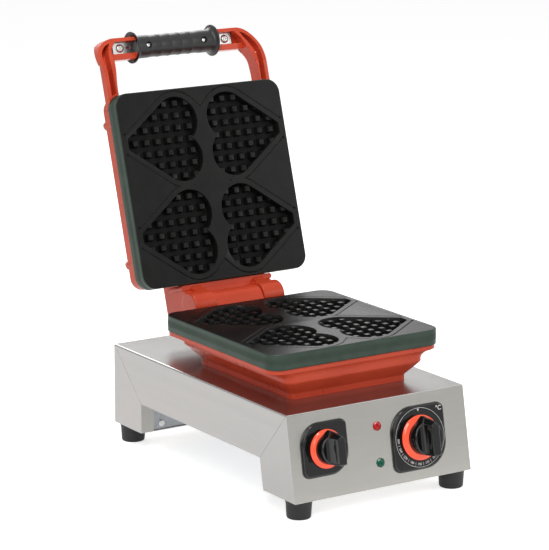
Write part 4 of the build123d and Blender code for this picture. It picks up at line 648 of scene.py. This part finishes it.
# The wells for the two screws: points of the underside are pressed in where they lie near a screw.
grip_screw_x, well_radius, well_wall, well_depth = 37.3, 3.2, 0.5, 4.2
from_screw = np.hypot(np.abs(grip_rings[..., 0]) - grip_screw_x, grip_rings[..., 1])
pressed = well_depth * (1 - np.clip((from_screw - well_radius) / well_wall, 0, 1))
grip_rings[..., 2] += np.where(grip_rings[..., 2] < -6, pressed, 0.0)
make_piece("moulded_grip", [skin(on_lid(grip_rings + (0.0, grip_y, grip_z)))],
           plain("grip_black", (0.020, 0.020, 0.021), 0.36, grain=1800.0, shine=0.45), "lid", "grip_black",
           "grip_front", "grip_back", sharp=50.0)
make_piece("grip_screw_heads", [skin(in_front(socket_head(3.0, 2.2, 1.3), x, grip_y, grip_z - 9.0))
                                for x in (-grip_screw_x, grip_screw_x)],
           bright_zinc, "lid", "fasteners", "grip_screws")


# Control surrounds: two gloss black mouldings under the knobs, square with two opposite corners well
# rounded and with a rounded rim. They lie on the front and cover the heads of the controls' screws.
panel_run, panel_drop, panel_top = 17.5, 92.3, 112.3
lean = math.atan2(panel_run, panel_drop)


def on_panel(rings, x, down):
    """Rings of (across, up, out) on the sloping front, at a place across it and down from its top edge."""
    drop = down - rings[..., 1]
    return model(np.stack([x + rings[..., 0], -drop * math.sin(lean) - rings[..., 2] * math.cos(lean),
                           panel_top - drop * math.cos(lean) + rings[..., 2] * math.sin(lean)], -1))


def surround(size, hole):
    """Rounded squares, each further out and further in, down to the round hole for the spindle."""
    radii = np.array([0.12, 0.42, 0.12, 0.42]) * size
    back, face = 0.02, 4.0
    rows = [(0.0, back), (0.12, 1.2), (0.3, 2.2), (0.65, 3.0), (1.2, 3.6), (1.9, 3.9), (2.8, face)]
    rings = [outline_ring(size / 2 - inset, np.maximum(radii - inset, 0.5), out) for inset, out in rows]
    rim = rings[-1][:, :2] / np.linalg.norm(rings[-1][:, :2], axis=1)[:, None]
    rings += [np.column_stack([rim * hole, np.full(len(rim), out)]) for out in (face, back)]
    return np.array(rings + rings[:1])


def glossy(name, colour, roughness, shine, light=0.0):
    """A polished moulding: a faint cloud in its colour and polish, and a very slight unevenness."""
    finish = Finish(name)
    cloud = finish.noise(60.0, 3.0)
    # Any light given here makes the moulding glow of itself: painted light.
    return finish.shade(Base_Color=finish.blend(cloud.between(0.3, 0.7), darker(colour, 0.8), colour),
                        Roughness=cloud.between(0.3, 0.7, roughness, roughness + 0.03),
                        Specular_IOR_Level=shine, Emission_Color=colour, Emission_Strength=light,
                        Normal=finish.bump(cloud, 0.02, 0.0002))


gloss_black = glossy("gloss_black", (0.004, 0.004, 0.0045), 0.05, 0.5)
dial_x, dial_down, small_knob, spindle_hole = 49.3, 48.2, 16.4, 5.5
controls = (("thermostat", dial_x, dial_down, 70.0, 24.6, 18.6),
            ("switch", -72.0, 41.2, 58.0, 21.0, small_knob))
for name, x, down, size, cone, knob in controls:
    make_piece(name + "_surround", [skin(on_panel(surround(size, spindle_hole), x, down), ends=False)],
               gloss_black, "base", "bezel_black", name + "_bezel", sharp=40.0)


# Dial print: white numbers from 50 to 300, short strokes between them, a thin ring, a triangle at the
# off mark and the unit's sign, all printed on the surround's face.
print_white = plain("print_white", (0.80, 0.80, 0.80), 0.4)
face_out, ink = 4.01, 0.05


def plaque(outline):
    """A flat closed outline of (across, up) raised to a thin slab on the dial's face."""
    outline = np.asarray(outline, float)
    rings = np.stack([np.column_stack([outline, np.full(len(outline), level)])
                      for level in (face_out, face_out + ink)])
    return skin(on_panel(rings, dial_x, dial_down))


def lettering(text, size, across, up, turn):
    """A word as a thin solid, its middle at a place on the dial and its top turned by an angle."""
    curve = bpy.data.curves.new("lettering", "FONT")
    curve.body, curve.size, curve.extrude, curve.offset = text, size, ink / 2, 0.02 * size
    curve.align_x, curve.align_y = "CENTER", "CENTER"
    holder = bpy.data.objects.new("lettering", curve)
    bpy.context.scene.collection.objects.link(holder)
    bpy.context.view_layer.update()
    mesh = bpy.data.meshes.new_from_object(holder.evaluated_get(bpy.context.evaluated_depsgraph_get()))
    points = np.zeros(len(mesh.vertices) * 3)
    mesh.vertices.foreach_get("co", points)
    points = points.reshape(-1, 3)
    faces = [list(face.vertices) for face in mesh.polygons]
    bpy.data.objects.remove(holder)
    bpy.data.curves.remove(curve)
    bpy.data.meshes.remove(mesh)
    turned = np.stack([across + points[:, 0] * math.cos(turn) - points[:, 1] * math.sin(turn),
                       up + points[:, 0] * math.sin(turn) + points[:, 1] * math.cos(turn),
                       face_out + ink / 2 + points[:, 2]], -1)
    return on_panel(turned, dial_x, dial_down), faces


marks = []
numbers = ("300", "260", "220", "180", "140", "100", "50")
number_radius, stroke_from, stroke_to, stroke_half = 28.6, 27.0, 30.6, 0.22
places = np.radians(np.linspace(180.0, 303.0, len(numbers)))
for number, place in zip(numbers, places):
    marks.append(lettering(number, 3.6, number_radius * math.cos(place), number_radius * math.sin(place),
                           place + np.pi / 2))
for place in (places[:-1] + places[1:]) / 2:
    out, aside = (math.cos(place), math.sin(place)), (-math.sin(place), math.cos(place))
    corners = np.array([(stroke_from, -stroke_half), (stroke_to, -stroke_half), (stroke_to, stroke_half),
                        (stroke_from, stroke_half)])
    marks.append(plaque(corners @ np.array([out, aside])))
marks.append(plaque([(-1.0, 31.2), (0.5, 28.0), (2.0, 31.2)]))
marks.append(lettering("°C", 7.0, 27.4, 28.0, 0.0))
ring_inner, ring_outer = 31.7, 32.15
ring = lathe([(face_out, ring_inner), (face_out + ink, ring_inner), (face_out + ink, ring_outer),
              (face_out, ring_outer), (face_out, ring_inner)], 180)
marks.append(skin(on_panel(ring, dial_x, dial_down), ends=False))
make_piece("dial_print", marks, print_white, "base", "white_polyamide")


# Knobs: a coloured cone under each knob, and a tall bar to turn it by between two hollows, which
# slopes at its top to a pointer over the cone.
# The orange cones get a faint glow of their own, though no lamp is inside them: painted light.
orange_painted_glow = glossy("orange_plastic_painted_glow", (1.0, 0.095, 0.032), 0.12, 0.5, 0.3)
cone_low, cone_high, cone_bore, knob_top, rim_top = 4.6, 9.4, 4.6, 34.5, 22.0


def turning_cone(base, top):
    """A lathed cone with a rounded foot and a fold half way up."""
    middle = (base + top) / 2
    return lathe(eased([(cone_low, cone_bore), (cone_low, base - 0.8), (5.3, base), (7.6, middle + 0.7),
                        (9.3, top + 0.3), (cone_high, top - 1), (cone_high, cone_bore),
                        (cone_low, cone_bore)], [0.1, 0.7, 0.8, 0.8, 0.3, 0.3]), 120)


def turning_knob(radius, pointer):
    """The knob as heights over its plan, which is a circle with two tangents that meet at the pointer.

    The height is that of a bar with hollow flanks across the plan, or of two slopes that fall from the
    bar's end to the pointer where they are lower."""
    angle = np.linspace(-np.pi, np.pi, 240, endpoint=False)
    touch = math.acos(radius / pointer)
    away = np.abs(angle)
    edge = np.where(away < touch, radius / np.cos(touch - away), radius)
    edge = np.minimum(edge, pointer - 0.25)
    scale = radius / small_knob
    flank = eased([(0, knob_top), (4.7, knob_top - 0.1), (5.7, 27.4), (7.4, 22.4), (11.0, 21.0),
                   (30.0, 24.5)], [1.0, 0.7, 3.2, 2.0])
    slope = 3.77 / scale
    bar_end = pointer - (knob_top - cone_high - 1.0) / slope

    def height(u, v):
        level = np.interp(np.abs(u), flank[:, 0], flank[:, 1])
        level = np.where(np.abs(u) > 8, np.minimum(level, rim_top), level)
        return np.minimum(level, knob_top - slope * (v - bar_end) - 2.1 / scale * np.abs(u))

    def ring(reach, level):
        return np.stack([reach * np.sin(angle), reach * np.cos(angle), level], -1)

    break_edge = 1.6
    inside = edge - break_edge
    rings = []
    for part in np.linspace(0, 1, 60) ** 0.8:
        reach = part * inside
        rings.append(ring(reach, height(reach * np.sin(angle), reach * np.cos(angle))))
    top = np.maximum(height(inside * np.sin(angle), inside * np.cos(angle)), cone_high + 0.9)
    for turn in np.linspace(0, np.pi / 2, 5)[1:]:
        rings.append(ring(edge - break_edge * (1 - math.sin(turn)),
                          top - break_edge * (1 - math.cos(turn))))
    for part in (0.5, 1.0):
        rings.append(ring(edge, (top - break_edge) * (1 - part) + cone_high * part))
    return np.array(rings)


for name, x, down, size, cone, knob in controls:
    make_piece(name + "_cone", [skin(on_panel(turning_cone(cone, knob), x, down), ends=False)],
               orange_painted_glow, name + "_dial", "knob_orange", name + "_skirt", sharp=50.0)
    make_piece(name + "_grip", [skin(on_panel(turning_knob(knob, cone - 0.6), x, down))], gloss_black,
               name + "_dial", "knob_black", name + "_knob", sharp=55.0)


# Pilot lamps: a red and a green lens of clear plastic, moulded with facets like a cut stone. Each goes
# through the front and is held by a nut behind it.
def cut_lens():
    """Rings of eight points, each turned by half a step from the last, so that they meet in triangles."""
    rows = [(0.0, 5.4, 0.0), (0.6, 5.35, 0.0), (2.2, 3.9, 0.5), (2.7, 2.0, 0.0), (1.7, 0.0, 0.5)]
    count = 8
    rings = []
    for out, radius, shift in rows:
        angle = (np.arange(count) + shift) * 2 * np.pi / count
        rings.append(np.stack([radius * np.cos(angle), radius * np.sin(angle), np.full(count, out)], -1))
    return np.array(rings)


def lens(name, colour, glow):
    """Clear coloured plastic over a bright back: the colour with a little light of its own."""
    finish = Finish(name)
    cloud = finish.noise(500.0, 3.0)
    share = cloud.between(0.35, 0.65)
    return finish.shade(Base_Color=finish.blend(share, darker(colour, 0.6), colour),
                        Roughness=cloud.between(0.3, 0.7, 0.05, 0.12), Specular_IOR_Level=0.3,
                        Emission_Color=finish.blend(share, darker(glow, 0.2), glow),
                        Emission_Strength=0.08)


lamp_x = -2.4
for name, down, finish in (("red", 28.0, lens("red_lens", (0.50, 0.002, 0.004), (0.8, 0.01, 0.01))),
                           ("green", 67.5, lens("green_lens", (0.0, 0.11, 0.06), (0.0, 0.25, 0.14)))):
    make_piece(name + "_lens", [skin(on_panel(cut_lens(), lamp_x, down))], finish, "base", "lens_" + name,
               name + "_lamp", sharp=4.0)
